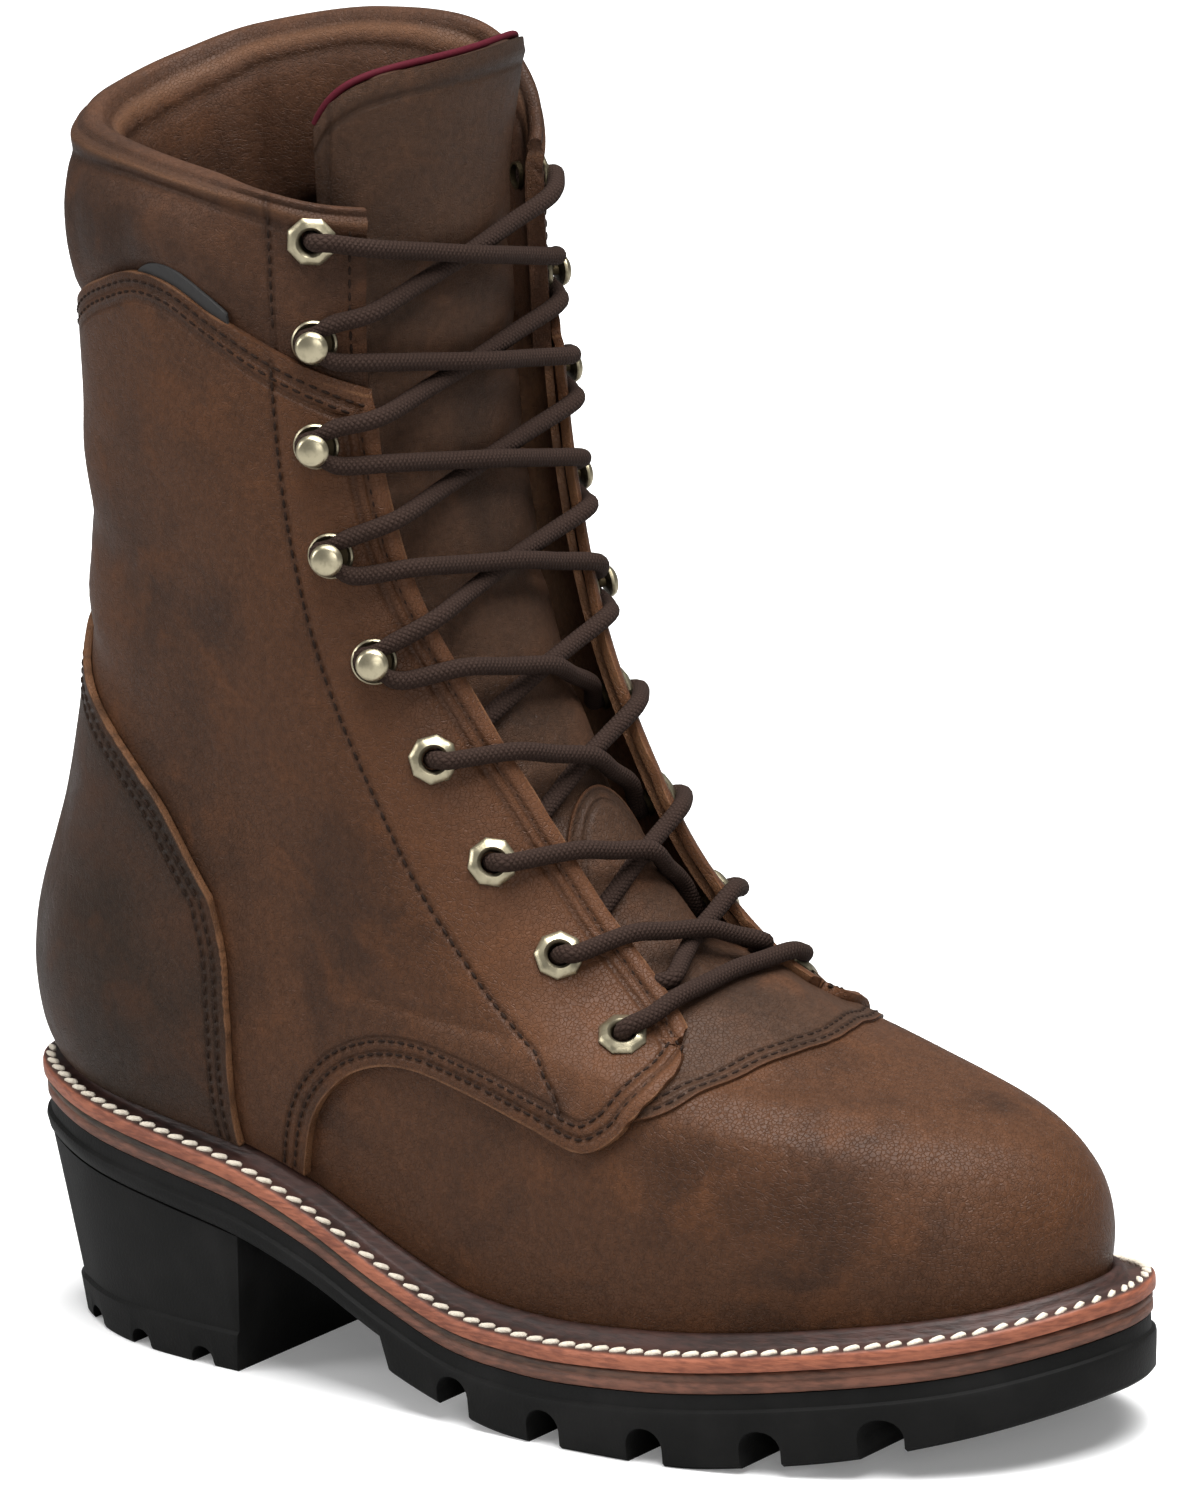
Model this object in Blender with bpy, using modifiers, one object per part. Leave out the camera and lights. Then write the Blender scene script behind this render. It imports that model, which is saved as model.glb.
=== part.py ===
"""Logger boot, right foot: a tall lace-up work boot on a lugged sole with a high heel.

The boot stands on the floor, toe along -Y, outer side along -X, origin under the heel's middle.
The leather follows one skin that is worked out from the last. A place on the skin has two
numbers: round, from 0 at the front through 3 on the outer side, 6 at the back and 9 on the
inner side back to 12, and row, from 0 at the welt to 14 above the collar.
"""

import math

import bmesh
import bpy
import numpy as np
from mathutils import Matrix, Vector

# Driving sizes, in metres
LENGTH = 0.305
BALL_WIDTH = 0.099
HEIGHT = 0.300
HEEL_CENTRE = 0.040

LEATHER = 0.0020
OVERLAY = 0.0015
COUNTER_LEATHER = 0.0015
STRIP_LEATHER = 0.0011
SEAT = 0.0009
COUNTER_SEAT = 0.0011
STRIP_SEAT = 0.0011
HARDWARE_SEAT = 0.0009
CLEAR = 0.0003
LAYER_CLEAR = 0.0006

WELT_LEDGE = 0.0105
WELT_THICKNESS = 0.0038
WELT_INSIDE = 0.0060
BEAD_HEIGHT = 0.0034
BEAD_WIDTH = 0.0032
INSOLE_THICKNESS = 0.0040
INSOLE_CLEAR = 0.0030
MIDSOLE_THICKNESS = 0.0050
MIDSOLE_INSET = 0.0008
OUTSOLE_INSET = 0.0004
OUTSOLE_STEP = 0.0010
SHANK_THICKNESS = 0.0085
STEP_DEPTH = 0.0042

HEEL_LENGTH = 0.256 * LENGTH
HEEL_BREAST_SLOPE = 0.0050
HEEL_SIDE_TAPER = 0.0030
HEEL_BACK_TAPER = 0.0060
HEEL_LEDGE_HEIGHT = 0.0095
HEEL_LEDGE = 0.0012

TREAD_START = 0.430 * LENGTH
LUG_DEPTH = 0.0090
LUG_GAP = 0.0100
LUG_REACH = 0.0300
CHANNEL_WIDTH = 0.0055
CHANNEL_DEPTH = 0.0060
CENTRE_LUG_WIDTH = 0.0300
MIDSOLE_TOP = WELT_THICKNESS + LAYER_CLEAR
OUTSOLE_TOP = MIDSOLE_TOP + MIDSOLE_THICKNESS + CLEAR

EYELET_RADIUS = 0.0058
EYELET_HOLE = 0.0027
EYELET_BARREL = 0.0033
EYELET_HEIGHT = 0.0016
EYELET_DEPTH = 0.0058
HOOK_BASE = 0.0053
HOOK_BASE_HEIGHT = 0.0011
HOOK_NECK = 0.0017
HOOK_KNOB = 0.0038
HOOK_HEIGHT = 0.0070
LACE_RADIUS = 0.0022
TONGUE_THICKNESS = 0.0060
TONGUE_SINK = 0.0075
TONGUE_SEAT = 0.0007
TONGUE_BASE_LEATHER = 0.0014
PIPING_RADIUS = 0.0011

ROUND = 12
BACK = 6
STATIONS_PER_SIDE = 24

# One row of the skin a line, from the welt up. Lengths are shares of LENGTH, heights shares of
# HEIGHT, widths shares of half of BALL_WIDTH, and curve is how far the last's bend is felt.
ROW_COLUMNS = (
    "back_length", "back_height", "front_length", "front_height",
    "back_corner", "heel", "waist", "ball", "toe", "curve",
)
SKIN_ROWS = [
    (0.028, 0.217, 0.970, 0.125, 0.303, 0.596, 0.667, 0.899, 0.586, 1.00),
    (0.015, 0.253, 0.974, 0.167, 0.364, 0.677, 0.737, 0.990, 0.636, 1.00),
    (0.011, 0.293, 0.964, 0.208, 0.384, 0.717, 0.778, 1.000, 0.616, 1.00),
    (0.015, 0.330, 0.931, 0.243, 0.384, 0.717, 0.788, 0.955, 0.566, 0.90),
    (0.024, 0.363, 0.872, 0.264, 0.374, 0.697, 0.788, 0.900, 0.505, 0.75),
    (0.038, 0.400, 0.787, 0.282, 0.354, 0.667, 0.788, 0.864, 0.465, 0.60),
    (0.054, 0.443, 0.692, 0.324, 0.333, 0.646, 0.798, 0.859, 0.465, 0.40),
    (0.070, 0.497, 0.607, 0.398, 0.323, 0.646, 0.818, 0.879, 0.505, 0.20),
    (0.086, 0.557, 0.543, 0.495, 0.323, 0.657, 0.848, 0.905, 0.566, 0.10),
    (0.097, 0.623, 0.498, 0.590, 0.333, 0.667, 0.879, 0.929, 0.626, 0.00),
    (0.104, 0.697, 0.472, 0.683, 0.338, 0.677, 0.899, 0.955, 0.677, 0.00),
    (0.107, 0.773, 0.459, 0.777, 0.343, 0.687, 0.919, 0.970, 0.707, 0.00),
    (0.107, 0.857, 0.456, 0.870, 0.343, 0.687, 0.934, 0.985, 0.727, 0.00),
    (0.107, 0.953, 0.456, 0.967, 0.343, 0.692, 0.949, 1.000, 0.737, 0.00),
    (0.107, 1.060, 0.459, 1.073, 0.343, 0.697, 0.960, 1.010, 0.747, 0.00),
]
TOP_ROW = len(SKIN_ROWS) - 1

# Control lines round the skin from the front to the back: how far forward of the back each lies,
# as a share of the row, and how far the last bends it sideways, as a share of half of BALL_WIDTH.
LINES = [
    ("front", 1.00, 0.141),
    ("toe", 0.93, 0.071),
    ("ball", 0.72, -0.020),
    ("waist", 0.42, -0.131),
    ("heel", 0.15, -0.020),
    ("back_corner", 0.03, 0.000),
    ("back", 0.00, 0.000),
]

# Top of the welt along the boot: share of LENGTH from the back, share of HEIGHT
WELT_LINE = [
    (0.000, 0.217), (0.098, 0.205), (0.197, 0.192), (0.279, 0.177), (0.344, 0.155), (0.426, 0.117),
    (0.492, 0.093), (0.564, 0.085), (0.672, 0.088), (0.820, 0.101), (0.934, 0.115), (1.000, 0.128),
]
WELT_FADE_ROWS = 4.5

# Underside of the tread: share of LENGTH from the back, share of HEIGHT
TREAD_LINE = [
    (0.400, 0.045), (0.430, 0.032), (0.492, 0.012), (0.540, 0.002), (0.570, 0.000), (0.640, 0.000),
    (0.720, 0.000), (0.780, 0.006), (0.860, 0.017), (0.930, 0.032), (1.000, 0.050),
]

# Slots across the tread, as shares of LENGTH from the back, and how far before the first and after
# the last the middle row is cut
LUG_PLACES = (0.497, 0.590, 0.688, 0.786, 0.876)
FIRST_CHANNEL = 0.03
LAST_CHANNEL = 0.06
# Notches in the heel's foot, as shares of HEEL_LENGTH from the back
HEEL_LUG_PLACES = (0.28, 0.56, 0.85)

# Edge of the throat: row, round
THROAT = [
    (4.0, 1.50), (5.0, 1.28), (5.4, 1.18), (6.1, 0.93), (7.2, 0.76),
    (8.6, 0.82), (10.0, 1.00), (11.4, 1.02), (13.0, 0.92), (14.0, 0.90),
]
VAMP_EDGE_ROW = 5.1
WALL_TUCK = 0.10
WALL_BASE = 1.25
WALL_LOW_ROWS = (0.0, 0.6, 1.4, 2.3, 3.2, 4.2, VAMP_EDGE_ROW)
WALL_STEPS = (0, 0.08, 0.16, 0.25, 0.35, 0.47, 0.61, 0.80, 1.0)

# Lower edge of the quarter, from the throat round its tab, up over the arch and down to the welt:
# round, row
QUARTER_EDGE = [
    (1.18, 5.35), (1.38, 4.98), (1.64, 4.35), (1.90, 3.55), (2.06, 2.94), (2.20, 2.62),
    (2.36, 2.86), (2.54, 3.14), (2.74, 3.27), (2.92, 2.98), (3.08, 2.40), (3.20, 1.60), (3.30, 0.42),
]
OVERLAY_FOOT_ROW = 0.42
# Columns of the quarter behind that edge, how far round the throat shapes them, and its rows
QUARTER_REAR = [3.62, 3.9, 4.2, 4.6, 5.0, 5.35, 5.7, 5.97]
QUARTER_FADE = 1.2
QUARTER_STEPS = (0, 0.05, 0.11, 0.18, 0.26, 0.35, 0.44, 0.54, 0.66, 0.82, 1.0)

# Seam between the quarter and the collar: round, row
COLLAR_SEAM = [
    (0.80, 11.28), (1.28, 11.52), (1.88, 11.84), (2.34, 12.14), (2.72, 12.38),
    (3.10, 12.46), (3.66, 12.32), (4.50, 12.00), (6.00, 11.80),
]
COLLAR_LAP = 0.18
SEAM_GAP = 0.03

# Rim of the collar, all the way round: round, row
COLLAR_RIM = [
    (0.60, 12.85), (0.95, 12.92), (1.50, 13.02), (2.00, 13.14), (3.00, 13.34), (4.00, 13.48), (5.00, 13.58),
    (6.00, 13.66), (7.00, 13.76), (8.00, 13.90), (9.00, 13.98), (9.80, 13.86), (10.50, 13.45),
    (11.00, 13.06), (11.40, 12.95),
]
COLLAR_PADDING_START = 1.85
COLLAR_PADDING_FULL = 2.60

# Section of the collar: share of its height above the seam, or -1 at its lower edge under the
# quarter, then the offset from the skin where it is flat, and where it is padded
COLLAR_SECTION = [
    (-1.00, 0.0000, 0.0000), (0.00, 0.0000, 0.0000), (0.18, 0.0000, 0.0028), (0.50, 0.0000, 0.0038),
    (0.82, 0.0000, 0.0010), (0.96, -0.0004, -0.0040), (1.00, -0.0022, -0.0085), (0.96, -0.0040, -0.0120),
    (0.70, -0.0044, -0.0135), (0.30, -0.0044, -0.0125), (0.00, -0.0044, -0.0070), (-1.00, -0.0044, -0.0044),
]
COLLAR_SECTIONS = 35

# Upper edge of the heel counter: round, row
COUNTER_EDGE = [
    (3.30, 5.90), (3.36, 6.34), (3.46, 6.86), (3.62, 7.24), (3.82, 7.54), (4.10, 7.84), (4.60, 8.20),
    (5.20, 8.56), (6.00, 8.80),
]
# Front edge of the heel counter: row, round
COUNTER_FRONT = [(0.42, 3.52), (1.02, 3.50), (2.20, 3.46), (3.56, 3.42), (5.08, 3.34), (5.90, 3.30)]
COUNTER_COLUMNS = (3.30, 3.42, 3.62, 3.9, 4.2, 4.6, 5.0, 5.35, 5.7, 6.0)
COUNTER_FADE = 0.9
BACKSTAY_HALF_WIDTH = 0.42
BACKSTAY_START = 8.90

# Half width of the tongue: row, round
TONGUE_WIDTH = [(4.6, 1.42), (5.4, 1.38), (6.2, 1.20), (7.2, 1.08), (8.6, 1.14), (10.0, 1.28), (12.0, 1.38), (14.0, 1.36)]
TONGUE_START = 4.75
TONGUE_TOP = 13.92
TONGUE_CORNER = 0.40
TONGUE_DIP_START = 5.0
TONGUE_DIP_ROWS = 1.0
TONGUE_RISE_START = 12.7
TONGUE_SIDE_DROP = 0.6
TONGUE_SIDE_THIN = 0.55
TONGUE_BASE_TOP = 7.95
TONGUE_BASE_ARC = 0.9
TONGUE_BASE_WIDTH = 0.8
TONGUE_BASE_LAP = 0.12
TONGUE_STEPS = (0, 0.045, 0.09, 0.135, 0.18, 0.23, 0.29, 0.36, 0.45, 0.55, 0.68, 0.82, 0.93, 1)

# How far inside the throat's edge the lace starts to sink, round
LACE_TUCK = 0.12
# Lacing stations from the top down: row, round, kind
LACING = [
    (12.74, 1.42, "eyelet"), (11.90, 1.46, "hook"), (11.02, 1.52, "hook"), (10.06, 1.56, "hook"),
    (9.12, 1.46, "hook"), (8.26, 1.34, "eyelet"), (7.40, 1.32, "eyelet"), (6.52, 1.34, "eyelet"),
    (5.42, 1.50, "eyelet"),
]


def curve_row(points, place, closed=False):
    """Rows of a table read at any place between them, on a curve through every row."""
    points = np.asarray(points, float)
    count = len(points)
    place = np.asarray(place, float)
    first = np.floor(place).astype(int)
    if not closed:
        first = np.clip(first, 0, count - 2)
        before = 2 * points[:1] - points[1:2]
        after = 2 * points[-1:] - points[-2:-1]
        points = np.vstack([before, points, after])
    share = (place - first)[..., None]
    near = [points[(first + k) % count] if closed else points[first + k + 1] for k in (-1, 0, 1, 2)]
    return 0.5 * (
        2 * near[1]
        + (near[2] - near[0]) * share
        + (2 * near[0] - 5 * near[1] + 4 * near[2] - near[3]) * share**2
        + (3 * near[1] - near[0] - 3 * near[2] + near[3]) * share**3
    )


def read(table, place):
    """Second column of a table at a place in its first column, on a smooth curve."""
    table = np.asarray(table, float)
    place = np.clip(place, table[0, 0], table[-1, 0])
    first = np.clip(np.searchsorted(table[:, 0], place) - 1, 0, len(table) - 2)
    run = table[first + 1, 0] - table[first, 0]
    share = (place - table[first, 0]) / run
    slope = np.gradient(table[:, 1], table[:, 0])
    return (
        (2 * share**3 - 3 * share**2 + 1) * table[first, 1]
        + (share**3 - 2 * share**2 + share) * run * slope[first]
        + (3 * share**2 - 2 * share**3) * table[first + 1, 1]
        + (share**3 - share**2) * run * slope[first + 1]
    )


def smooth(share):
    share = np.clip(share, 0, 1)
    return share * share * (3 - 2 * share)


def mirrored(turn):
    """The same place round the boot, counted from the nearer side of the front."""
    turn = np.mod(turn, ROUND)
    return np.minimum(turn, ROUND - turn)


def welt_height(y):
    share = np.clip((HEEL_CENTRE - y) / LENGTH, 0, 1)
    return read(WELT_LINE, share) * HEIGHT


def skin(turn, row):
    """Points of the boot's skin."""
    turn, row = np.broadcast_arrays(np.asarray(turn, float), np.asarray(row, float))
    shape = turn.shape
    turn = turn.ravel()
    row = row.ravel()
    size = dict(zip(ROW_COLUMNS, curve_row(SKIN_ROWS, row).T))
    half = BALL_WIDTH / 2
    none = np.zeros(len(row))
    lines = LINES + LINES[-2:0:-1]
    loop = []
    for index, (name, ahead, bend) in enumerate(lines):
        side = -1 if index < BACK else 1
        width = size.get(name, none) if name not in ("front", "back") else none
        x = (side * width + bend * size["curve"]) * half
        y = size["back_length"] + (size["front_length"] - size["back_length"]) * ahead
        z = size["back_height"] + (size["front_height"] - size["back_height"]) * ahead
        loop.append(np.stack([x, HEEL_CENTRE - y * LENGTH, z * HEIGHT], -1))
    loop = np.stack(loop, 1)
    first = np.floor(turn).astype(int)
    share = (turn - first)[:, None]
    item = np.arange(len(turn))
    near = [loop[item, (first + k) % ROUND] for k in (-1, 0, 1, 2)]
    point = 0.5 * (
        2 * near[1]
        + (near[2] - near[0]) * share
        + (2 * near[0] - 5 * near[1] + 4 * near[2] - near[3]) * share**2
        + (3 * near[1] - near[0] - 3 * near[2] + near[3]) * share**3
    )
    foot = SKIN_ROWS[0]
    along = (HEEL_CENTRE - point[:, 1]) / LENGTH
    straight = foot[1] + (foot[3] - foot[1]) * (along - foot[0]) / (foot[2] - foot[0])
    fade = np.clip(1 - row / WELT_FADE_ROWS, 0, 1) ** 1.5
    point[:, 2] += fade * (welt_height(point[:, 1]) - straight * HEIGHT)
    return point.reshape(shape + (3,))


def outward(turn, row):
    """Unit normals of the skin, pointing out of the boot."""
    step = 0.02
    turn, row = np.broadcast_arrays(np.asarray(turn, float), np.asarray(row, float))
    low = np.clip(row - step, 0, TOP_ROW)
    high = np.clip(row + step, 0, TOP_ROW)
    across = skin(turn + step, row) - skin(turn - step, row)
    up = skin(turn, high) - skin(turn, low)
    normal = np.cross(up, across)
    return normal / np.linalg.norm(normal, axis=-1, keepdims=True)


def place(turn, row, offset=0.0):
    """Points at an offset from the skin, outward where it is positive."""
    return skin(turn, row) + outward(turn, row) * np.asarray(offset, float)[..., None]


def sole_edge(turn, out):
    """Outline of a sole layer, level with the welt's top, at a distance outside the skin's foot."""
    foot = skin(turn, 0.0)
    normal = outward(turn, 0.0).copy()
    normal[..., 2] = 0
    normal /= np.linalg.norm(normal, axis=-1, keepdims=True)
    edge = foot + normal * np.asarray(out, float)[..., None]
    edge[..., 2] = welt_height(edge[..., 1])
    return edge


def material(name, colour, roughness, metallic=0.0):
    made = bpy.data.materials.new(name)
    made.use_nodes = True
    shader = made.node_tree.nodes["Principled BSDF"]
    shader.inputs["Base Color"].default_value = (*colour, 1.0)
    shader.inputs["Roughness"].default_value = roughness
    shader.inputs["Metallic"].default_value = metallic
    return made


def put(name, mesh, finish, collection):
    """An object of its own for a mesh."""
    piece = bpy.data.objects.new(name, mesh)
    mesh.materials.append(finish)
    mesh.shade_smooth()
    mesh.set_sharp_from_angle(angle=math.radians(40))
    collection.objects.link(piece)
    return piece


def mesh_of(name, faces_of):
    """A mesh from quads of points, welded where they meet."""
    shell = bmesh.new()
    for quad in faces_of:
        shell.faces.new([shell.verts.new(point) for point in quad])
    bmesh.ops.remove_doubles(shell, verts=shell.verts, dist=1e-6)
    bmesh.ops.dissolve_degenerate(shell, edges=shell.edges, dist=1e-6)
    mesh = bpy.data.meshes.new(name)
    shell.to_mesh(mesh)
    shell.free()
    return mesh


def grid_quads(points):
    """Quads of a grid of points, facing out where columns run round and rows run up."""
    rows, columns = points.shape[:2]
    for row in range(rows - 1):
        for column in range(columns - 1):
            yield (
                points[row, column],
                points[row + 1, column],
                points[row + 1, column + 1],
                points[row, column + 1],
            )


def leather_sheet(name, points, thickness, direction, finish, collection):
    """A sheet of leather on a grid of points: direction 1 thickens it outward, -1 inward."""
    piece = put(name, mesh_of(name, grid_quads(points)), finish, collection)
    wall = piece.modifiers.new("Wall", "SOLIDIFY")
    wall.thickness = thickness
    wall.offset = direction
    wall.use_even_offset = True
    return piece


def loft(name, rings, finish, collection, closed=False):
    """A solid through rings of points, each ring running clockwise as seen from the next one."""
    rings = [np.asarray(ring) for ring in rings]
    pairs = list(zip(rings, rings[1:]))
    if closed:
        pairs.append((rings[-1], rings[0]))
    quads = []
    for one, two in pairs:
        for corner in range(len(one)):
            after = (corner + 1) % len(one)
            quads.append((one[corner], one[after], two[after], two[corner]))
    if not closed:
        quads.append(tuple(rings[0][::-1]))
        quads.append(tuple(rings[-1]))
    mesh = mesh_of(name, quads)
    shell = bmesh.new()
    shell.from_mesh(mesh)
    bmesh.ops.recalc_face_normals(shell, faces=shell.faces)
    bmesh.ops.triangulate(shell, faces=shell.faces)
    shell.to_mesh(mesh)
    shell.free()
    return put(name, mesh, finish, collection)


def cut(piece, cutter):
    tool = piece.modifiers.new("Cut " + cutter.name, "BOOLEAN")
    tool.operation = "DIFFERENCE"
    tool.object = cutter


def cutter_from(name, shell, cutters):
    mesh = bpy.data.meshes.new(name)
    shell.to_mesh(mesh)
    shell.free()
    cutter = bpy.data.objects.new(name, mesh)
    cutters.objects.link(cutter)
    cutter.hide_render = True
    cutter.display_type = "WIRE"
    return cutter


def throat_edge(row):
    return read(THROAT, row)


def upper(finish, collection):
    """The inner leather wall from welt to collar seam, open at the throat, the top and underneath."""
    turns = np.arange(0, ROUND + 0.01, ROUND / (2 * STATIONS_PER_SIDE))
    low = skin(*np.meshgrid(turns, WALL_LOW_ROWS))
    around = turns[(turns >= WALL_BASE) & (turns <= ROUND - WALL_BASE)]
    share = (around - WALL_BASE) / (ROUND - 2 * WALL_BASE)
    top_edge = throat_edge(COLLAR_SEAM[0][1]) + WALL_TUCK
    top = read(COLLAR_SEAM, mirrored(top_edge + share * (ROUND - 2 * top_edge))) - COLLAR_LAP - SEAM_GAP
    rows = VAMP_EDGE_ROW + (top - VAMP_EDGE_ROW) * np.array(WALL_STEPS)[:, None]
    edge = throat_edge(rows) + WALL_TUCK
    edge[0] = WALL_BASE
    high = skin(edge + share * (ROUND - 2 * edge), rows)
    quads = list(grid_quads(low)) + list(grid_quads(high))
    piece = put("upper", mesh_of("upper", quads), finish, collection)
    wall = piece.modifiers.new("Wall", "SOLIDIFY")
    wall.thickness = LEATHER
    wall.offset = -1
    wall.use_even_offset = True
    return piece


def quarter(name, medial, finish, collection):
    """One side panel with its eyestay, over the wall, from the welt to the collar seam."""
    front = QUARTER_EDGE[0][0]
    turns = np.array([point[0] for point in QUARTER_EDGE] + QUARTER_REAR)
    foot = read(QUARTER_EDGE, turns)
    fade = np.clip(1 - (turns - front) / QUARTER_FADE, 0, 1)
    rows = foot + (read(COLLAR_SEAM, turns) - foot) * np.array(QUARTER_STEPS)[:, None]
    around = turns + (throat_edge(rows) - front) * fade
    around[0] = turns
    if medial:
        around = ROUND - around[:, ::-1]
        rows = rows[:, ::-1]
    return leather_sheet(name, place(around, rows, SEAT + 0 * rows), OVERLAY, 1, finish, collection)


def counter(finish, collection):
    """The stiff leather cup round the back of the heel, over both quarters."""
    half = np.array(COUNTER_COLUMNS)
    top = read(COUNTER_EDGE, half)
    steps = np.linspace(0, 1, 9)[:, None]
    rows = OVERLAY_FOOT_ROW + (top - OVERLAY_FOOT_ROW) * steps
    fade = np.clip(1 - (half - half[0]) / COUNTER_FADE, 0, 1)
    around = half + (read(COUNTER_FRONT, rows) - COUNTER_FRONT[-1][1]) * fade
    around = np.hstack([around, ROUND - around[:, -2::-1]])
    rows = np.hstack([rows, rows[:, -2::-1]])
    lift = SEAT + OVERLAY + COUNTER_SEAT
    return leather_sheet(
        "counter", place(around, rows, lift + 0 * rows), COUNTER_LEATHER, 1, finish, collection
    )


def backstay(finish, collection):
    """The narrow strip that covers the back seam from the counter to the collar."""
    turns = BACK + BACKSTAY_HALF_WIDTH * np.linspace(-1, 1, 5)
    top = read(COLLAR_SEAM, mirrored(turns))
    rows = BACKSTAY_START + (top - BACKSTAY_START) * np.linspace(0, 1, 7)[:, None]
    around = turns + 0 * rows
    lift = SEAT + OVERLAY + STRIP_SEAT
    return leather_sheet(
        "backstay", place(around, rows, lift + 0 * rows), STRIP_LEATHER, 1, finish, collection
    )


def collar(finish, collection):
    """The facing with the top eyelets and the padded roll behind it, in one piece."""
    height, flat, padded = np.array(COLLAR_SECTION).T
    rings = []
    for share in np.linspace(0, 1, COLLAR_SECTIONS):
        seam_edge = throat_edge(COLLAR_SEAM[0][1])
        middle = seam_edge + share * (ROUND - 2 * seam_edge)
        seam = read(COLLAR_SEAM, mirrored(middle)) + SEAM_GAP
        rise = np.where(height < 0, COLLAR_LAP + SEAM_GAP, read(COLLAR_RIM, middle) - seam)
        rows = seam + rise * height
        edge = throat_edge(rows)
        padding = smooth(
            (mirrored(middle) - COLLAR_PADDING_START) / (COLLAR_PADDING_FULL - COLLAR_PADDING_START)
        )
        rings.append(place(edge + share * (ROUND - 2 * edge), rows, flat + (padded - flat) * padding))
    return loft("collar", rings, finish, collection)


def tongue_skin(across, row):
    """Outer face of the tongue: offset from the skin, deeper towards its sides."""
    foot = LEATHER + TONGUE_SEAT
    sink = foot + (TONGUE_SINK - foot) * smooth((row - TONGUE_DIP_START) / TONGUE_DIP_ROWS)
    rise = smooth((row - TONGUE_RISE_START) / (TONGUE_TOP - TONGUE_RISE_START))
    return TONGUE_SIDE_DROP * TONGUE_SINK * (rise - across**2) - sink


def tongue_place(across, row, lift):
    turn = across * read(TONGUE_WIDTH, row)
    return place(np.mod(turn, ROUND), row, tongue_skin(across, row) + lift)


def tongue(finish, collection):
    """The padded tongue, from under the vamp to above the collar."""
    across = np.linspace(-1, 1, 9)
    rings = []
    for step in TONGUE_STEPS:
        top = TONGUE_TOP - TONGUE_CORNER * across**4
        row = TONGUE_START + (top - TONGUE_START) * step
        tip = 1 - 0.5 * smooth((step - 0.9) / 0.1)
        body = TONGUE_THICKNESS * (1 - TONGUE_SIDE_THIN * across**2) * tip
        outer = tongue_place(across, row, 0.0)
        inner = tongue_place(across, row, -body)
        rings.append(np.vstack([outer, inner[::-1]]))
    return loft("tongue", rings, finish, collection)


def tongue_base(finish, collection):
    """The plain leather piece sewn over the foot of the tongue."""
    across = np.linspace(-TONGUE_BASE_WIDTH, TONGUE_BASE_WIDTH, 7)
    rings = []
    for step in np.linspace(0, 1, 6):
        top = TONGUE_BASE_TOP - TONGUE_BASE_ARC * across**2
        start = VAMP_EDGE_ROW + TONGUE_BASE_LAP
        row = start + (top - start) * step
        inner = tongue_place(across, row, SEAT)
        outer = tongue_place(across, row, SEAT + TONGUE_BASE_LEATHER)
        rings.append(np.vstack([outer, inner[::-1]]))
    return loft("tongue_base", rings, finish, collection)


def tube(name, points, radius, finish, collection):
    """A round cord through points, its ends closed."""
    line = bpy.data.curves.new(name, "CURVE")
    line.dimensions = "3D"
    line.bevel_depth = radius
    line.bevel_resolution = 2
    line.use_fill_caps = True
    spline = line.splines.new("POLY")
    spline.points.add(len(points) - 1)
    for point, target in zip(spline.points, points):
        point.co = (*target, 1.0)
    line.materials.append(finish)
    piece = bpy.data.objects.new(name, line)
    collection.objects.link(piece)
    return piece


def piping(finish, collection):
    """The cord sewn along the tongue's top edge."""
    across = np.array([-0.98, -0.92, -0.8, -0.55, 0.0, 0.55, 0.8, 0.92, 0.98])
    row = TONGUE_TOP - TONGUE_CORNER * across**4
    edge = tongue_place(across, row, -0.25 * TONGUE_THICKNESS)
    edge[:, 2] += PIPING_RADIUS + 2 * CLEAR
    return tube("tongue_piping", edge, PIPING_RADIUS, finish, collection)


def welt(finish, collection):
    """The strip between upper and sole, with a raised bead against the leather."""
    turns = np.arange(2 * STATIONS_PER_SIDE) * ROUND / (2 * STATIONS_PER_SIDE)
    bead_row = BEAD_HEIGHT / (skin(3.0, 1.0)[2] - skin(3.0, 0.0)[2])
    outer = sole_edge(turns, WELT_LEDGE + 0 * turns)
    toe_of_bead = sole_edge(turns, SEAT + BEAD_WIDTH + BEAD_HEIGHT / 2 + 0 * turns)
    root = sole_edge(turns, SEAT + 0 * turns)
    inside = sole_edge(turns, -WELT_INSIDE + 0 * turns)
    top_in = skin(turns, bead_row)
    away = outward(turns, 0.0).copy()
    away[:, 2] = 0
    away /= np.linalg.norm(away, axis=1, keepdims=True)
    down = np.array([0, 0, WELT_THICKNESS])
    sink = np.array([0, 0, CLEAR])
    rings = []
    for k in range(len(turns)):
        rings.append([
            outer[k] - down,
            inside[k] - down,
            inside[k] - sink,
            root[k] - sink,
            top_in[k] + away[k] * SEAT,
            top_in[k] + away[k] * (SEAT + BEAD_WIDTH),
            toe_of_bead[k],
            outer[k],
        ])
    return loft("welt", rings, finish, collection, closed=True)


def layer_rings(turns, outs, drops):
    """Cross sections of a sole layer, pair by pair from toe to heel.

    outs and drops give, for each corner down the layer's side, its distance outside the skin's
    foot and its depth below the welt's top, as functions of the place on the outline.
    """
    rings = []
    for turn in turns:
        lateral = []
        medial = []
        for out, drop in zip(outs, drops):
            for side, where in ((lateral, turn), (medial, ROUND - turn)):
                point = sole_edge(where, out)
                point[2] -= drop(point)
                side.append(point)
        rings.append(lateral + medial[::-1])
    return rings


def side_turns(first, last):
    """Places on the lateral outline, spread as the upper's columns are."""
    turns = np.arange(0, BACK + 0.01, BACK / STATIONS_PER_SIDE)
    return [first] + [turn for turn in turns if first + 0.05 < turn < last - 0.05] + [last]


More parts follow.
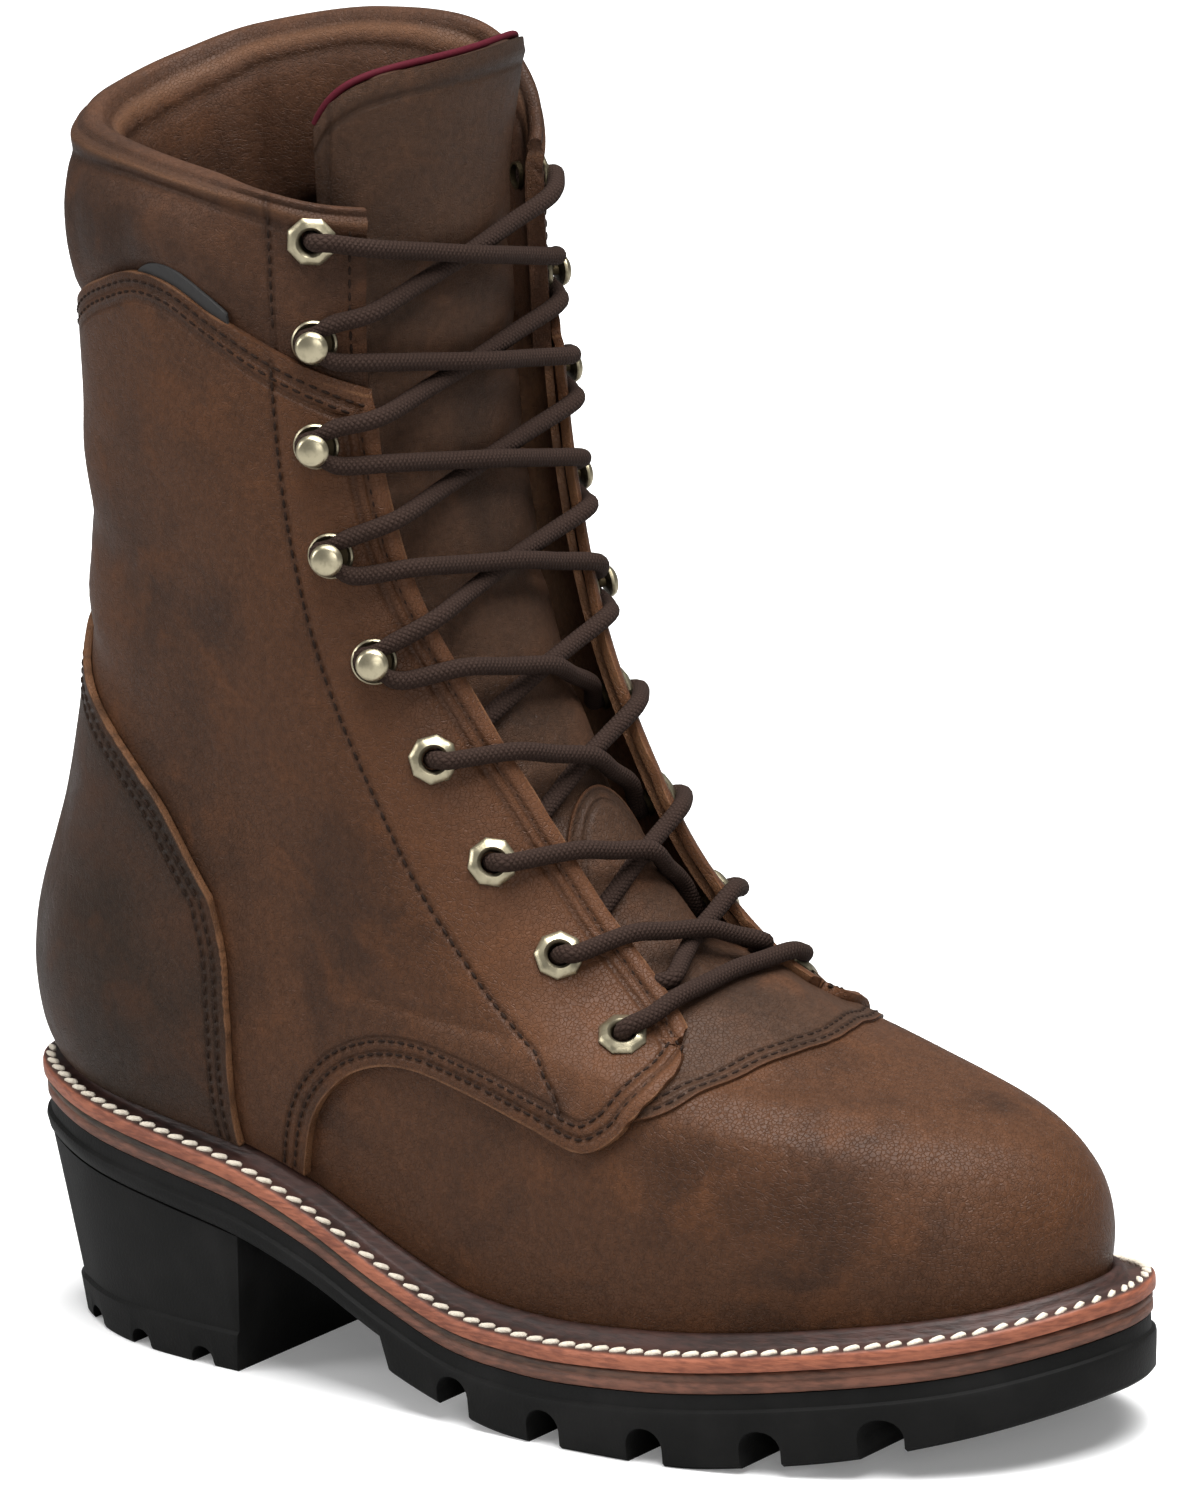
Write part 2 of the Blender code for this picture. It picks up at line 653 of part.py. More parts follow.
def flat_layer(name, out, top_drop, thickness, finish, collection):
    rings = layer_rings(
        side_turns(0.0, BACK),
        (out, out),
        (lambda point: top_drop, lambda point: top_drop + thickness),
    )
    return loft(name, rings, finish, collection)


def along(point):
    """Distance from the back of the welt."""
    return HEEL_CENTRE - point[1]


def turn_at(distance):
    """Place on the lateral outline at a distance from the back of the welt."""
    low, high = 0.5, 5.5
    for _ in range(40):
        middle = (low + high) / 2
        if along(sole_edge(middle, WELT_LEDGE)) > distance:
            low = middle
        else:
            high = middle
    return low


def outsole_drop(point, tread):
    """Depth of the outsole's underside below the welt's top."""
    if not tread:
        return OUTSOLE_TOP + SHANK_THICKNESS
    floor = read(TREAD_LINE, along(point) / LENGTH) * HEIGHT
    return welt_height(point[1]) - floor


def outsole(finish, collection, cutters):
    """The rubber sole: a plain shank and heel seat, and a thick forefoot cut into lugs."""
    out = WELT_LEDGE - OUTSOLE_INSET
    outs = (out - OUTSOLE_STEP, out, out - OUTSOLE_STEP / 2)
    step = turn_at(TREAD_START)
    front = layer_rings(
        side_turns(0.0, step),
        outs,
        (
            lambda point: OUTSOLE_TOP,
            lambda point: OUTSOLE_TOP + STEP_DEPTH,
            lambda point: outsole_drop(point, True),
        ),
    )
    rear = layer_rings(
        side_turns(step + 0.03, BACK),
        outs,
        (
            lambda point: OUTSOLE_TOP,
            lambda point: OUTSOLE_TOP + STEP_DEPTH,
            lambda point: outsole_drop(point, False),
        ),
    )
    piece = loft("outsole", front + rear, finish, collection)
    cut(piece, lug_cutters(cutters))
    return piece


def arch_slot(shell, centre, reach, width, height, arch_segments=4):
    """A slot across the tread with a round top, as a prism along X."""
    half = width / 2
    profile = [(-half, -height)]
    for k in range(arch_segments + 1):
        angle = math.pi - k * math.pi / arch_segments
        profile.append((half * math.cos(angle), half * math.sin(angle) * 0.7))
    profile.append((half, -height))
    ends = []
    for x in (-reach / 2, reach / 2):
        ends.append([shell.verts.new(centre + Vector((x, y, z))) for y, z in profile])
    shell.faces.new(ends[0])
    shell.faces.new(ends[1][::-1])
    for k in range(len(profile)):
        after = (k + 1) % len(profile)
        shell.faces.new((ends[0][after], ends[0][k], ends[1][k], ends[1][after]))


def block(shell, centre, size):
    matrix = Matrix.Translation(centre) @ Matrix.Diagonal((*size, 1.0))
    bmesh.ops.create_cube(shell, size=1.0, matrix=matrix)


def lug_cutters(cutters):
    """Slots in from both sides between the lugs, and gaps in the middle row between them."""
    shell = bmesh.new()
    for share in LUG_PLACES:
        distance = share * LENGTH
        floor = read(TREAD_LINE, share) * HEIGHT
        turn = turn_at(distance)
        for where in (turn, ROUND - turn):
            edge = sole_edge(where, WELT_LEDGE)
            centre = Vector((edge[0], edge[1], floor + LUG_DEPTH - LUG_GAP * 0.35))
            arch_slot(shell, centre, 2 * LUG_REACH, LUG_GAP, 2 * LUG_DEPTH)
    for share in (LUG_PLACES[0] - FIRST_CHANNEL, LUG_PLACES[-1] + LAST_CHANNEL):
        floor = read(TREAD_LINE, share) * HEIGHT
        block(
            shell,
            Vector((0.0, HEEL_CENTRE - share * LENGTH, floor)),
            (CENTRE_LUG_WIDTH, CHANNEL_WIDTH, 2 * CHANNEL_DEPTH),
        )
    bmesh.ops.recalc_face_normals(shell, faces=shell.faces)
    return cutter_from("lug_slots", shell, cutters)


def heel(finish, collection, cutters):
    """The heel block, tapered to the floor, with a small ledge and notched edges."""
    top_out = WELT_LEDGE - OUTSOLE_INSET - OUTSOLE_STEP
    first = turn_at(HEEL_LENGTH)
    top_drop = OUTSOLE_TOP + SHANK_THICKNESS + CLEAR
    rings = []
    for index, turn in enumerate(side_turns(first, BACK)):
        lateral = []
        medial = []
        for side, where in ((lateral, turn), (medial, ROUND - turn)):
            facing = max(0.0, outward(where, 0.0)[1])
            narrow = HEEL_SIDE_TAPER + HEEL_BACK_TAPER * facing**2
            edge_y = sole_edge(where, top_out)[1]
            top_y = HEEL_CENTRE - HEEL_LENGTH - HEEL_BREAST_SLOPE if index == 0 else edge_y
            top = welt_height(top_y) - top_drop
            for height, ledge in ((top, 0), (HEEL_LEDGE_HEIGHT, 0), (HEEL_LEDGE_HEIGHT, 1), (0.0, 1)):
                share = 1 - height / top
                point = sole_edge(where, top_out - narrow * share + HEEL_LEDGE * (ledge - 1) * share)
                if index == 0:
                    point[1] = HEEL_CENTRE - HEEL_LENGTH - HEEL_BREAST_SLOPE * (1 - share)
                point[2] = height if share else welt_height(point[1]) - top_drop
                side.append(point)
        rings.append(lateral + medial[::-1])
    piece = loft("heel", rings, finish, collection)
    cut(piece, heel_cutters(cutters))
    return piece


def heel_cutters(cutters):
    """Notches along the bottom edge of both sides."""
    shell = bmesh.new()
    for share in HEEL_LUG_PLACES:
        turn = turn_at(share * HEEL_LENGTH)
        for where in (turn, ROUND - turn):
            edge = sole_edge(where, WELT_LEDGE)
            centre = Vector((edge[0], edge[1], LUG_GAP * 0.45))
            arch_slot(shell, centre, LUG_REACH, LUG_GAP * 0.75, LUG_DEPTH)
    bmesh.ops.recalc_face_normals(shell, faces=shell.faces)
    return cutter_from("heel_slots", shell, cutters)


def turned(name, profile, steps, finish, collection):
    """A profile of radius and height, top to bottom down its outer side, turned about Z."""
    mesh = bpy.data.meshes.new(name)
    points = [(radius, 0.0, height) for radius, height in profile]
    edges = [(k, k + 1) for k in range(len(points) - 1)]
    if profile[0][0] > 0:
        edges.append((len(points) - 1, 0))
    mesh.from_pydata(points, edges, [])
    piece = bpy.data.objects.new(name, mesh)
    mesh.materials.append(finish)
    collection.objects.link(piece)
    screw = piece.modifiers.new("Turn", "SCREW")
    screw.steps = steps
    screw.render_steps = steps
    screw.use_merge_vertices = True
    screw.merge_threshold = 1e-5
    screw.use_smooth_shade = True
    return piece


def seat_on_skin(piece, turn, row, offset):
    """Stands a turned piece on the skin, its axis along the normal."""
    normal = Vector(outward(turn, row))
    up = Vector(skin(turn, row + 0.05) - skin(turn, row)).normalized()
    side = up.cross(normal).normalized()
    up = normal.cross(side)
    turn_matrix = Matrix((side, up, normal)).transposed()
    piece.rotation_euler = turn_matrix.to_euler()
    piece.location = place(turn, row, offset)


def lacing_offset(row):
    """Offset of the outer face that carries the hardware: the quarter, or the bare facing above it."""
    return SEAT + OVERLAY if row < 11.5 else 0.0


def hardware(finish, collection):
    """Eyelets with barrels through the leather, and ball hooks, down both sides."""
    eyelet = [
        (EYELET_HOLE, EYELET_HEIGHT),
        (EYELET_RADIUS - 0.0006, EYELET_HEIGHT),
        (EYELET_RADIUS, 0.0),
        (EYELET_BARREL, 0.0),
        (EYELET_BARREL, -EYELET_DEPTH),
        (EYELET_HOLE, -EYELET_DEPTH),
    ]
    hook = [
        (0.0, HOOK_HEIGHT),
        (HOOK_KNOB * 0.75, HOOK_HEIGHT),
        (HOOK_KNOB, HOOK_HEIGHT - 0.0012),
        (HOOK_KNOB, HOOK_HEIGHT - 0.0020),
        (HOOK_NECK, HOOK_HEIGHT - 0.0030),
        (HOOK_NECK, HOOK_BASE_HEIGHT),
        (HOOK_BASE, HOOK_BASE_HEIGHT),
        (HOOK_BASE, 0.0),
        (0.0, 0.0),
    ]
    shapes = {"eyelet": eyelet, "hook": hook}
    for number, (row, turn, kind) in enumerate(LACING, 1):
        for side, where in (("lateral", turn), ("medial", ROUND - turn)):
            piece = turned(f"{kind}_{side}_{number}", shapes[kind], 8, finish, collection)
            seat_on_skin(piece, where, row, lacing_offset(row) + HARDWARE_SEAT)


def hole_cutter(name, numbers, medial, cutters):
    """Holes for the eyelets' barrels."""
    shell = bmesh.new()
    for number in numbers:
        row, turn, _ = LACING[number - 1]
        where = ROUND - turn if medial else turn
        normal = Vector(outward(where, row))
        matrix = Matrix.Translation(place(where, row)) @ normal.to_track_quat("Z", "Y").to_matrix().to_4x4()
        bmesh.ops.create_cone(
            shell, cap_ends=True, segments=8, radius1=EYELET_BARREL + SEAT, radius2=EYELET_BARREL + SEAT,
            depth=0.020, matrix=matrix,
        )
    return cutter_from(name, shell, cutters)


def cut_holes(pieces, cutters):
    low = [number for number, (row, _, kind) in enumerate(LACING, 1) if kind == "eyelet" and row < 11]
    for side, medial in (("lateral", False), ("medial", True)):
        holes = hole_cutter(f"eyelet_holes_{side}", low, medial, cutters)
        cut(pieces[f"quarter_{side}"], holes)
        cut(pieces["upper"], holes)
        cut(pieces["collar"], hole_cutter(f"top_hole_{side}", [1], medial, cutters))


def laces(finish, collection):
    """The crossings of the lace over the tongue as one cord that stops short of the hardware."""
    stand_off = EYELET_RADIUS + LACE_RADIUS + CLEAR
    above = SEAT + OVERLAY + HARDWARE_SEAT + LACE_RADIUS
    low_pass = SEAT + TONGUE_BASE_LEATHER + 2 * CLEAR + LACE_RADIUS
    high_pass = low_pass + 2 * LACE_RADIUS + 2 * CLEAR

    def corner(number):
        row, turn, _ = LACING[number - 1]
        width = np.linalg.norm(skin(turn + 0.1, row) - skin(turn - 0.1, row)) / 0.2
        return turn - stand_off / width, row

    def crossing(start, end, side, over_tongue):
        """Points from a corner on one side, over the tongue, towards the next corner."""
        from_turn, from_row = corner(start)
        to_turn, to_row = corner(end)
        middle = tongue_skin(0.0, (from_row + to_row) / 2) + over_tongue
        edge_from = throat_edge(from_row) - LACE_TUCK
        edge_to = throat_edge(to_row) - LACE_TUCK
        span = from_turn + to_turn
        stops = [
            (from_turn, above),
            (edge_from, above),
            (0.40 * edge_from, (above + middle) / 2 - 2 * CLEAR),
            (0.0, middle),
            (-0.40 * edge_to, (above + middle) / 2 - 2 * CLEAR),
            (-edge_to, above),
        ]
        points = []
        for turn, offset in stops:
            share = (from_turn - turn) / span
            row = from_row + (to_row - from_row) * share
            points.append(place(np.mod(side * turn, ROUND), row, offset))
        return points

    last = len(LACING)
    strands = []
    for first_side in (1, -1):
        points = []
        side = first_side
        for number in range(last, 1, -1):
            over = (number % 2 == 0) == (first_side == 1)
            points += crossing(number, number - 1, side, high_pass if over else low_pass)
            side = -side
        row, turn = corner(1)[::-1]
        points.append(place(np.mod(side * turn, ROUND), row, above))
        strands.append(points)
    bar = crossing(last, last, 1, low_pass)
    route = strands[0][::-1] + bar[1:] + strands[1]
    return tube("laces", route, LACE_RADIUS, finish, collection)


def clear_scene():
    for item in list(bpy.data.objects):
        bpy.data.objects.remove(item, do_unlink=True)


def build():
    clear_scene()
    boot = bpy.data.collections.new("logger_boot")
    cutters = bpy.data.collections.new("cutters")
    bpy.context.scene.collection.children.link(boot)
    bpy.context.scene.collection.children.link(cutters)

    brown = material("leather_brown", (0.100, 0.046, 0.026), 0.55)
    dark = material("leather_dark", (0.052, 0.031, 0.020), 0.55)
    soft = material("leather_collar", (0.110, 0.052, 0.031), 0.60)
    burgundy = material("piping_burgundy", (0.100, 0.004, 0.012), 0.60)
    cord = material("lace_brown", (0.042, 0.024, 0.017), 0.85)
    brass = material("hardware_brass", (0.560, 0.480, 0.300), 0.30, 1.0)
    edge = material("welt_leather", (0.380, 0.110, 0.060), 0.60)
    midsole = material("midsole_leather", (0.130, 0.056, 0.034), 0.65)
    rubber = material("rubber_black", (0.018, 0.017, 0.016), 0.75)
    board = material("insole_leather", (0.230, 0.140, 0.080), 0.80)

    pieces = {"upper": upper(brown, boot)}
    for side, medial in (("lateral", False), ("medial", True)):
        pieces[f"quarter_{side}"] = quarter(f"quarter_{side}", medial, brown, boot)
    counter(dark, boot)
    backstay(brown, boot)
    pieces["collar"] = collar(soft, boot)
    tongue(dark, boot)
    tongue_base(dark, boot)
    piping(burgundy, boot)
    laces(cord, boot)
    hardware(brass, boot)
    cut_holes(pieces, cutters)
    welt(edge, boot)
    flat_layer("insole", -LEATHER - INSOLE_CLEAR, -CLEAR - INSOLE_THICKNESS, INSOLE_THICKNESS, board, boot)
    flat_layer("midsole", WELT_LEDGE - MIDSOLE_INSET, MIDSOLE_TOP, MIDSOLE_THICKNESS, midsole, boot)
    outsole(rubber, boot, cutters)
    heel(rubber, boot, cutters)


build()
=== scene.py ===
"""Logger boot, right foot: the finish of every piece, in the order in which the boot is put together."""

import math

import bpy
import numpy as np
from mathutils import Matrix, Vector


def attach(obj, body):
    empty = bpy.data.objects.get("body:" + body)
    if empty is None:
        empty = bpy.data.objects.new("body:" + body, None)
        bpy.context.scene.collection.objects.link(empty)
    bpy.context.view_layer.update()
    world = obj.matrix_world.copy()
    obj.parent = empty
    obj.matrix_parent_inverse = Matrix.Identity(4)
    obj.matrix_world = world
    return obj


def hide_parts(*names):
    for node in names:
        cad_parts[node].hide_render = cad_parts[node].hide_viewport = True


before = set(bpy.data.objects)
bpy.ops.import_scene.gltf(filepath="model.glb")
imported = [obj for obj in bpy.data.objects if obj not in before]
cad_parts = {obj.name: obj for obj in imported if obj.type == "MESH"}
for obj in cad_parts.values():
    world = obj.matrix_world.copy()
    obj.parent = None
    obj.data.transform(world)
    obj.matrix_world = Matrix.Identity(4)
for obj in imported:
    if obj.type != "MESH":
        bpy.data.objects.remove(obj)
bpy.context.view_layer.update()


# The studio: a seamless white table under a large soft box, seen from the boot's outer side
# through a long lens that is held a little askew. None of it is part of the boot.
VIEW_ROUND = math.radians(53.37)
VIEW_UP = math.radians(13.7)
VIEW_ROLL = math.radians(-3.0)
VIEW_DISTANCE = 2.5
AIM = Vector((0.0, -0.090, 0.140))
AIM_RIGHT = 0.02873
AIM_UP = 0.01029
LENS = 252.0
SENSOR = 36.0

back = Vector((
    -math.sin(VIEW_ROUND) * math.cos(VIEW_UP), -math.cos(VIEW_ROUND) * math.cos(VIEW_UP), math.sin(VIEW_UP),
))
level_right = Vector((math.cos(VIEW_ROUND), -math.sin(VIEW_ROUND), 0.0))
level_up = back.cross(level_right)
view_right = level_right * math.cos(VIEW_ROLL) + level_up * math.sin(VIEW_ROLL)
view_up = level_up * math.cos(VIEW_ROLL) - level_right * math.sin(VIEW_ROLL)

bpy.ops.object.select_all(action="DESELECT")
bpy.ops.object.camera_add()
camera = bpy.context.object
camera.name = "camera"
camera.data.lens = LENS
camera.data.sensor_width = SENSOR
camera.data.clip_end = 20.0
camera.matrix_world = Matrix.Translation(
    AIM + view_right * AIM_RIGHT + view_up * AIM_UP + back * VIEW_DISTANCE
) @ Matrix((view_right, view_up, back)).transposed().to_4x4()
bpy.context.scene.camera = camera

FLOOR_SIZE = 8.0
FLOOR_FOR_LIGHT = 0.42
FLOOR_FOR_CAMERA = 0.93
# Distance from the middle where the floor's glow starts and is full, and its strength there
FLOOR_GLOW = (0.25, 1.10, 0.16, 1.00)
ROOM_LIGHT = 0.20
bpy.ops.object.select_all(action="DESELECT")
bpy.ops.mesh.primitive_plane_add(size=FLOOR_SIZE)
floor = bpy.context.object
floor.name = "floor"
floor_paint = bpy.data.materials.new("floor_paint")
floor_paint.use_nodes = True
nodes = floor_paint.node_tree.nodes
link = floor_paint.node_tree.links.new
floor_shader = nodes["Principled BSDF"]
seen = nodes.new("ShaderNodeLightPath").outputs["Is Camera Ray"]
# The floor throws little light back, and it glows towards the horizon for the camera alone
white = nodes.new("ShaderNodeMix")
white.data_type = "RGBA"
white.inputs["A"].default_value = (*[FLOOR_FOR_LIGHT] * 3, 1.0)
white.inputs["B"].default_value = (*[FLOOR_FOR_CAMERA] * 3, 1.0)
link(seen, white.inputs["Factor"])
link(white.outputs["Result"], floor_shader.inputs["Base Color"])
floor_shader.inputs["Roughness"].default_value = 0.9
floor_shader.inputs["Emission Color"].default_value = (1.0, 1.0, 1.0, 1.0)
from_middle = nodes.new("ShaderNodeVectorMath")
from_middle.operation = "LENGTH"
link(nodes.new("ShaderNodeTexCoord").outputs["Object"], from_middle.inputs[0])
glow = nodes.new("ShaderNodeMapRange")
for label, value in zip(("From Min", "From Max", "To Min", "To Max"), FLOOR_GLOW):
    glow.inputs[label].default_value = value
link(from_middle.outputs["Value"], glow.inputs["Value"])
glow_seen = nodes.new("ShaderNodeMath")
glow_seen.operation = "MULTIPLY"
link(glow.outputs[0], glow_seen.inputs[0])
link(seen, glow_seen.inputs[1])
link(glow_seen.outputs[0], floor_shader.inputs["Emission Strength"])
floor.data.materials.append(floor_paint)

world = bpy.data.worlds.new("white_room")
world.use_nodes = True
room = world.node_tree.nodes["Background"]
room.inputs["Color"].default_value = (1.0, 1.0, 1.0, 1.0)
seen = world.node_tree.nodes.new("ShaderNodeLightPath").outputs["Is Camera Ray"]
brightness = world.node_tree.nodes.new("ShaderNodeMapRange")
brightness.inputs["To Min"].default_value = ROOM_LIGHT
brightness.inputs["To Max"].default_value = 1.0
world.node_tree.links.new(seen, brightness.inputs["Value"])
world.node_tree.links.new(brightness.outputs[0], room.inputs["Strength"])
bpy.context.scene.world = world
bpy.context.scene.view_settings.view_transform = "Standard"

# Name, place, watts, size
SOFT_BOXES = [
    ("overhead", (-0.1, -0.5, 1.9), 84.0, 1.7),
    ("front_left", (-1.7, -1.9, 0.8), 12.0, 1.0),
    ("back_rim", (-1.3, 1.3, 0.9), 14.0, 0.9),
]
for name, spot, watts, size in SOFT_BOXES:
    bpy.ops.object.select_all(action="DESELECT")
    bpy.ops.object.light_add(type="AREA", location=spot)
    lamp = bpy.context.object
    lamp.name = name
    lamp.data.energy = watts
    lamp.data.size = size
    lamp.rotation_euler = (AIM - Vector(spot)).to_track_quat("-Z", "Y").to_euler()


# The last: the wooden foot that the boot is pulled over. Every panel, seam and eyelet lies on its
# skin, at a place round the boot (0 front, 3 outer side, 6 back, 9 inner side) and a row up it
# (0 at the welt, 14 above the collar). The numbers are the part's own.
LENGTH = 0.305
BALL_WIDTH = 0.099
HEIGHT = 0.300
HEEL_CENTRE = 0.040
ROUND = 12
BACK = 6

# Columns of a row: length and height of its back and front, half widths at the back corner, heel,
# waist, ball and toe, and its share of the last's bend
SKIN_ROWS = [
    (0.028, 0.217, 0.970, 0.125, 0.303, 0.596, 0.667, 0.899, 0.586, 1.00),
    (0.015, 0.253, 0.974, 0.167, 0.364, 0.677, 0.737, 0.990, 0.636, 1.00),
    (0.011, 0.293, 0.964, 0.208, 0.384, 0.717, 0.778, 1.000, 0.616, 1.00),
    (0.015, 0.330, 0.931, 0.243, 0.384, 0.717, 0.788, 0.955, 0.566, 0.90),
    (0.024, 0.363, 0.872, 0.264, 0.374, 0.697, 0.788, 0.900, 0.505, 0.75),
    (0.038, 0.400, 0.787, 0.282, 0.354, 0.667, 0.788, 0.864, 0.465, 0.60),
    (0.054, 0.443, 0.692, 0.324, 0.333, 0.646, 0.798, 0.859, 0.465, 0.40),
    (0.070, 0.497, 0.607, 0.398, 0.323, 0.646, 0.818, 0.879, 0.505, 0.20),
    (0.086, 0.557, 0.543, 0.495, 0.323, 0.657, 0.848, 0.905, 0.566, 0.10),
    (0.097, 0.623, 0.498, 0.590, 0.333, 0.667, 0.879, 0.929, 0.626, 0.00),
    (0.104, 0.697, 0.472, 0.683, 0.338, 0.677, 0.899, 0.955, 0.677, 0.00),
    (0.107, 0.773, 0.459, 0.777, 0.343, 0.687, 0.919, 0.970, 0.707, 0.00),
    (0.107, 0.857, 0.456, 0.870, 0.343, 0.687, 0.934, 0.985, 0.727, 0.00),
    (0.107, 0.953, 0.456, 0.967, 0.343, 0.692, 0.949, 1.000, 0.737, 0.00),
    (0.107, 1.060, 0.459, 1.073, 0.343, 0.697, 0.960, 1.010, 0.747, 0.00),
]
TOP_ROW = len(SKIN_ROWS) - 1
# Lines up the last: column of its half width, share of the row's length ahead of the back, bend
LINES = [
    (None, 1.00, 0.141), (8, 0.93, 0.071), (7, 0.72, -0.020), (6, 0.42, -0.131),
    (5, 0.15, -0.020), (4, 0.03, 0.000), (None, 0.00, 0.000),
]
# Top of the welt: share of the length from the back, share of the height
WELT_LINE = [
    (0.000, 0.217), (0.098, 0.205), (0.197, 0.192), (0.279, 0.177), (0.344, 0.155), (0.426, 0.117),
    (0.492, 0.093), (0.564, 0.085), (0.672, 0.088), (0.820, 0.101), (0.934, 0.115), (1.000, 0.128),
]
WELT_FADE_ROWS = 4.5

# Soft folds that wear has put in the leather: round, row, reach round, reach up, slant in rows per
# step round, height in millimetres
FOLDS = [
    (4.35, 9.9, 0.95, 0.30, 0.50, -0.9), (4.20, 10.6, 0.80, 0.32, 0.35, 0.7),
    (4.60, 9.1, 0.80, 0.26, 0.45, 0.8), (4.10, 8.3, 0.70, 0.22, 0.60, -0.7),
    (2.70, 7.2, 0.55, 0.30, -0.50, -0.6), (2.55, 5.9, 0.50, 0.28, -0.40, 0.5),
    (2.45, 4.9, 0.45, 0.25, -0.30, -0.5), (3.10, 9.6, 0.45, 0.70, 0.00, -0.5),
    (2.70, 10.9, 0.40, 0.60, 0.30, 0.4), (7.60, 9.7, 0.90, 0.30, -0.45, -0.9),
    (7.80, 8.7, 0.80, 0.26, -0.50, 0.8), (8.00, 10.6, 0.80, 0.32, -0.30, 0.6),
    (9.40, 6.9, 0.60, 0.28, 0.50, -0.7), (9.60, 5.6, 0.50, 0.26, 0.40, 0.5),
    (9.00, 8.0, 0.50, 0.30, 0.30, -0.6), (1.90, 2.3, 0.30, 0.50, 0.50, -0.5),
    (10.3, 2.4, 0.35, 0.50, -0.50, -0.6), (1.40, 3.2, 0.35, 0.35, 0.40, 0.4),
]


def curve_row(points, place_on_it):
    """Rows of a table at any place between them, on a curve through every row."""
    points = np.asarray(points, float)
    first = np.clip(np.floor(place_on_it).astype(int), 0, len(points) - 2)
    points = np.vstack([2 * points[:1] - points[1:2], points, 2 * points[-1:] - points[-2:-1]])
    return through([points[first + k] for k in range(4)], (place_on_it - first)[..., None])


def through(near, share):
    """The smooth curve through the middle two of four near points."""
    return 0.5 * (
        2 * near[1]
        + (near[2] - near[0]) * share
        + (2 * near[0] - 5 * near[1] + 4 * near[2] - near[3]) * share**2
        + (3 * near[1] - near[0] - 3 * near[2] + near[3]) * share**3
    )


def read(table, where):
    """Second column of a table at a place in its first column, on a smooth curve."""
    table = np.asarray(table, float)
    where = np.clip(where, table[0, 0], table[-1, 0])
    first = np.clip(np.searchsorted(table[:, 0], where) - 1, 0, len(table) - 2)
    run = table[first + 1, 0] - table[first, 0]
    share = (where - table[first, 0]) / run
    slope = np.gradient(table[:, 1], table[:, 0])
    return (
        (2 * share**3 - 3 * share**2 + 1) * table[first, 1]
        + (share**3 - 2 * share**2 + share) * run * slope[first]
        + (3 * share**2 - 2 * share**3) * table[first + 1, 1]
        + (share**3 - share**2) * run * slope[first + 1]
    )


def smooth(share):
    """A share that starts and ends gently."""
    share = np.clip(share, 0, 1)
    return share * share * (3 - 2 * share)


def unit(vectors):
    """The same directions, each one long."""
    return vectors / np.linalg.norm(vectors, axis=-1, keepdims=True)


def run_along(points):
    """Distance along a line to each of its points."""
    return np.r_[0, np.cumsum(np.linalg.norm(np.diff(points, axis=0), axis=1))]


def mirrored(turn):
    """The same place round the boot, counted from the nearer side of the front."""
    turn = np.mod(turn, ROUND)
    return np.minimum(turn, ROUND - turn)


def welt_height(y):
    """Height of the welt's top at a place along the boot."""
    return read(WELT_LINE, np.clip((HEEL_CENTRE - y) / LENGTH, 0, 1)) * HEIGHT


def skin(turn, row):
    """Points of the last's skin."""
    turn, row = np.broadcast_arrays(np.asarray(turn, float), np.asarray(row, float))
    shape = turn.shape
    turn = np.mod(turn.ravel(), ROUND)
    row = row.ravel()
    size = curve_row(SKIN_ROWS, row).T
    loop = []
    for index, (column, ahead, bend) in enumerate(LINES + LINES[-2:0:-1]):
        side = -1 if index < BACK else 1
        width = 0 if column is None else size[column]
        x = (side * width + bend * size[9]) * BALL_WIDTH / 2
        y = size[0] + (size[2] - size[0]) * ahead
        z = size[1] + (size[3] - size[1]) * ahead
        loop.append(np.stack([x, HEEL_CENTRE - y * LENGTH, z * HEIGHT], -1))
    loop = np.stack(loop, 1)
    first = np.floor(turn).astype(int)
    item = np.arange(len(turn))
    point = through([loop[item, (first + k) % ROUND] for k in (-1, 0, 1, 2)], (turn - first)[:, None])
    foot = SKIN_ROWS[0]
    along = (HEEL_CENTRE - point[:, 1]) / LENGTH
    straight = foot[1] + (foot[3] - foot[1]) * (along - foot[0]) / (foot[2] - foot[0])
    fade = np.clip(1 - row / WELT_FADE_ROWS, 0, 1) ** 1.5
    point[:, 2] += fade * (welt_height(point[:, 1]) - straight * HEIGHT)
    return point.reshape(shape + (3,))


def outward(turn, row):
    """Unit normals of the skin, pointing out of the boot."""
    step = 0.02
    turn, row = np.broadcast_arrays(np.asarray(turn, float), np.asarray(row, float))
    low = np.clip(row - step, 0, TOP_ROW)
    high = np.clip(row + step, 0, TOP_ROW)
    up = skin(turn, high) - skin(turn, low)
    return unit(np.cross(up, skin(turn + step, row) - skin(turn - step, row)))


def folds(turn, row):
    """Height of the leather's soft folds, in metres."""
    turn = np.mod(turn, ROUND)
    height = 0.0
    for at_turn, at_row, reach, rise, slant, tall in FOLDS:
        across = (row - at_row - slant * (turn - at_turn)) / rise
        height = height + tall / 1000 * np.exp(-((turn - at_turn) / reach) ** 2 - across**2)
    return height


def place(turn, row, offset=0.0):
    """Points at an offset from the skin and its folds, outward where it is positive."""
    lift = np.asarray(offset, float) + folds(turn, row)
    return skin(turn, row) + outward(turn, row) * lift[..., None]


# The vamp and the wall of the shaft: one skin of 2 mm oiled cowhide, flesh side in, pulled over the
# last and closed under the insole. It shows at the toe, in the throat's edges and inside the shaft.
LEATHER = 0.0020
VAMP_EDGE_ROW = 5.75
WALL_TUCK = 0.10
WALL_BASE = 1.15
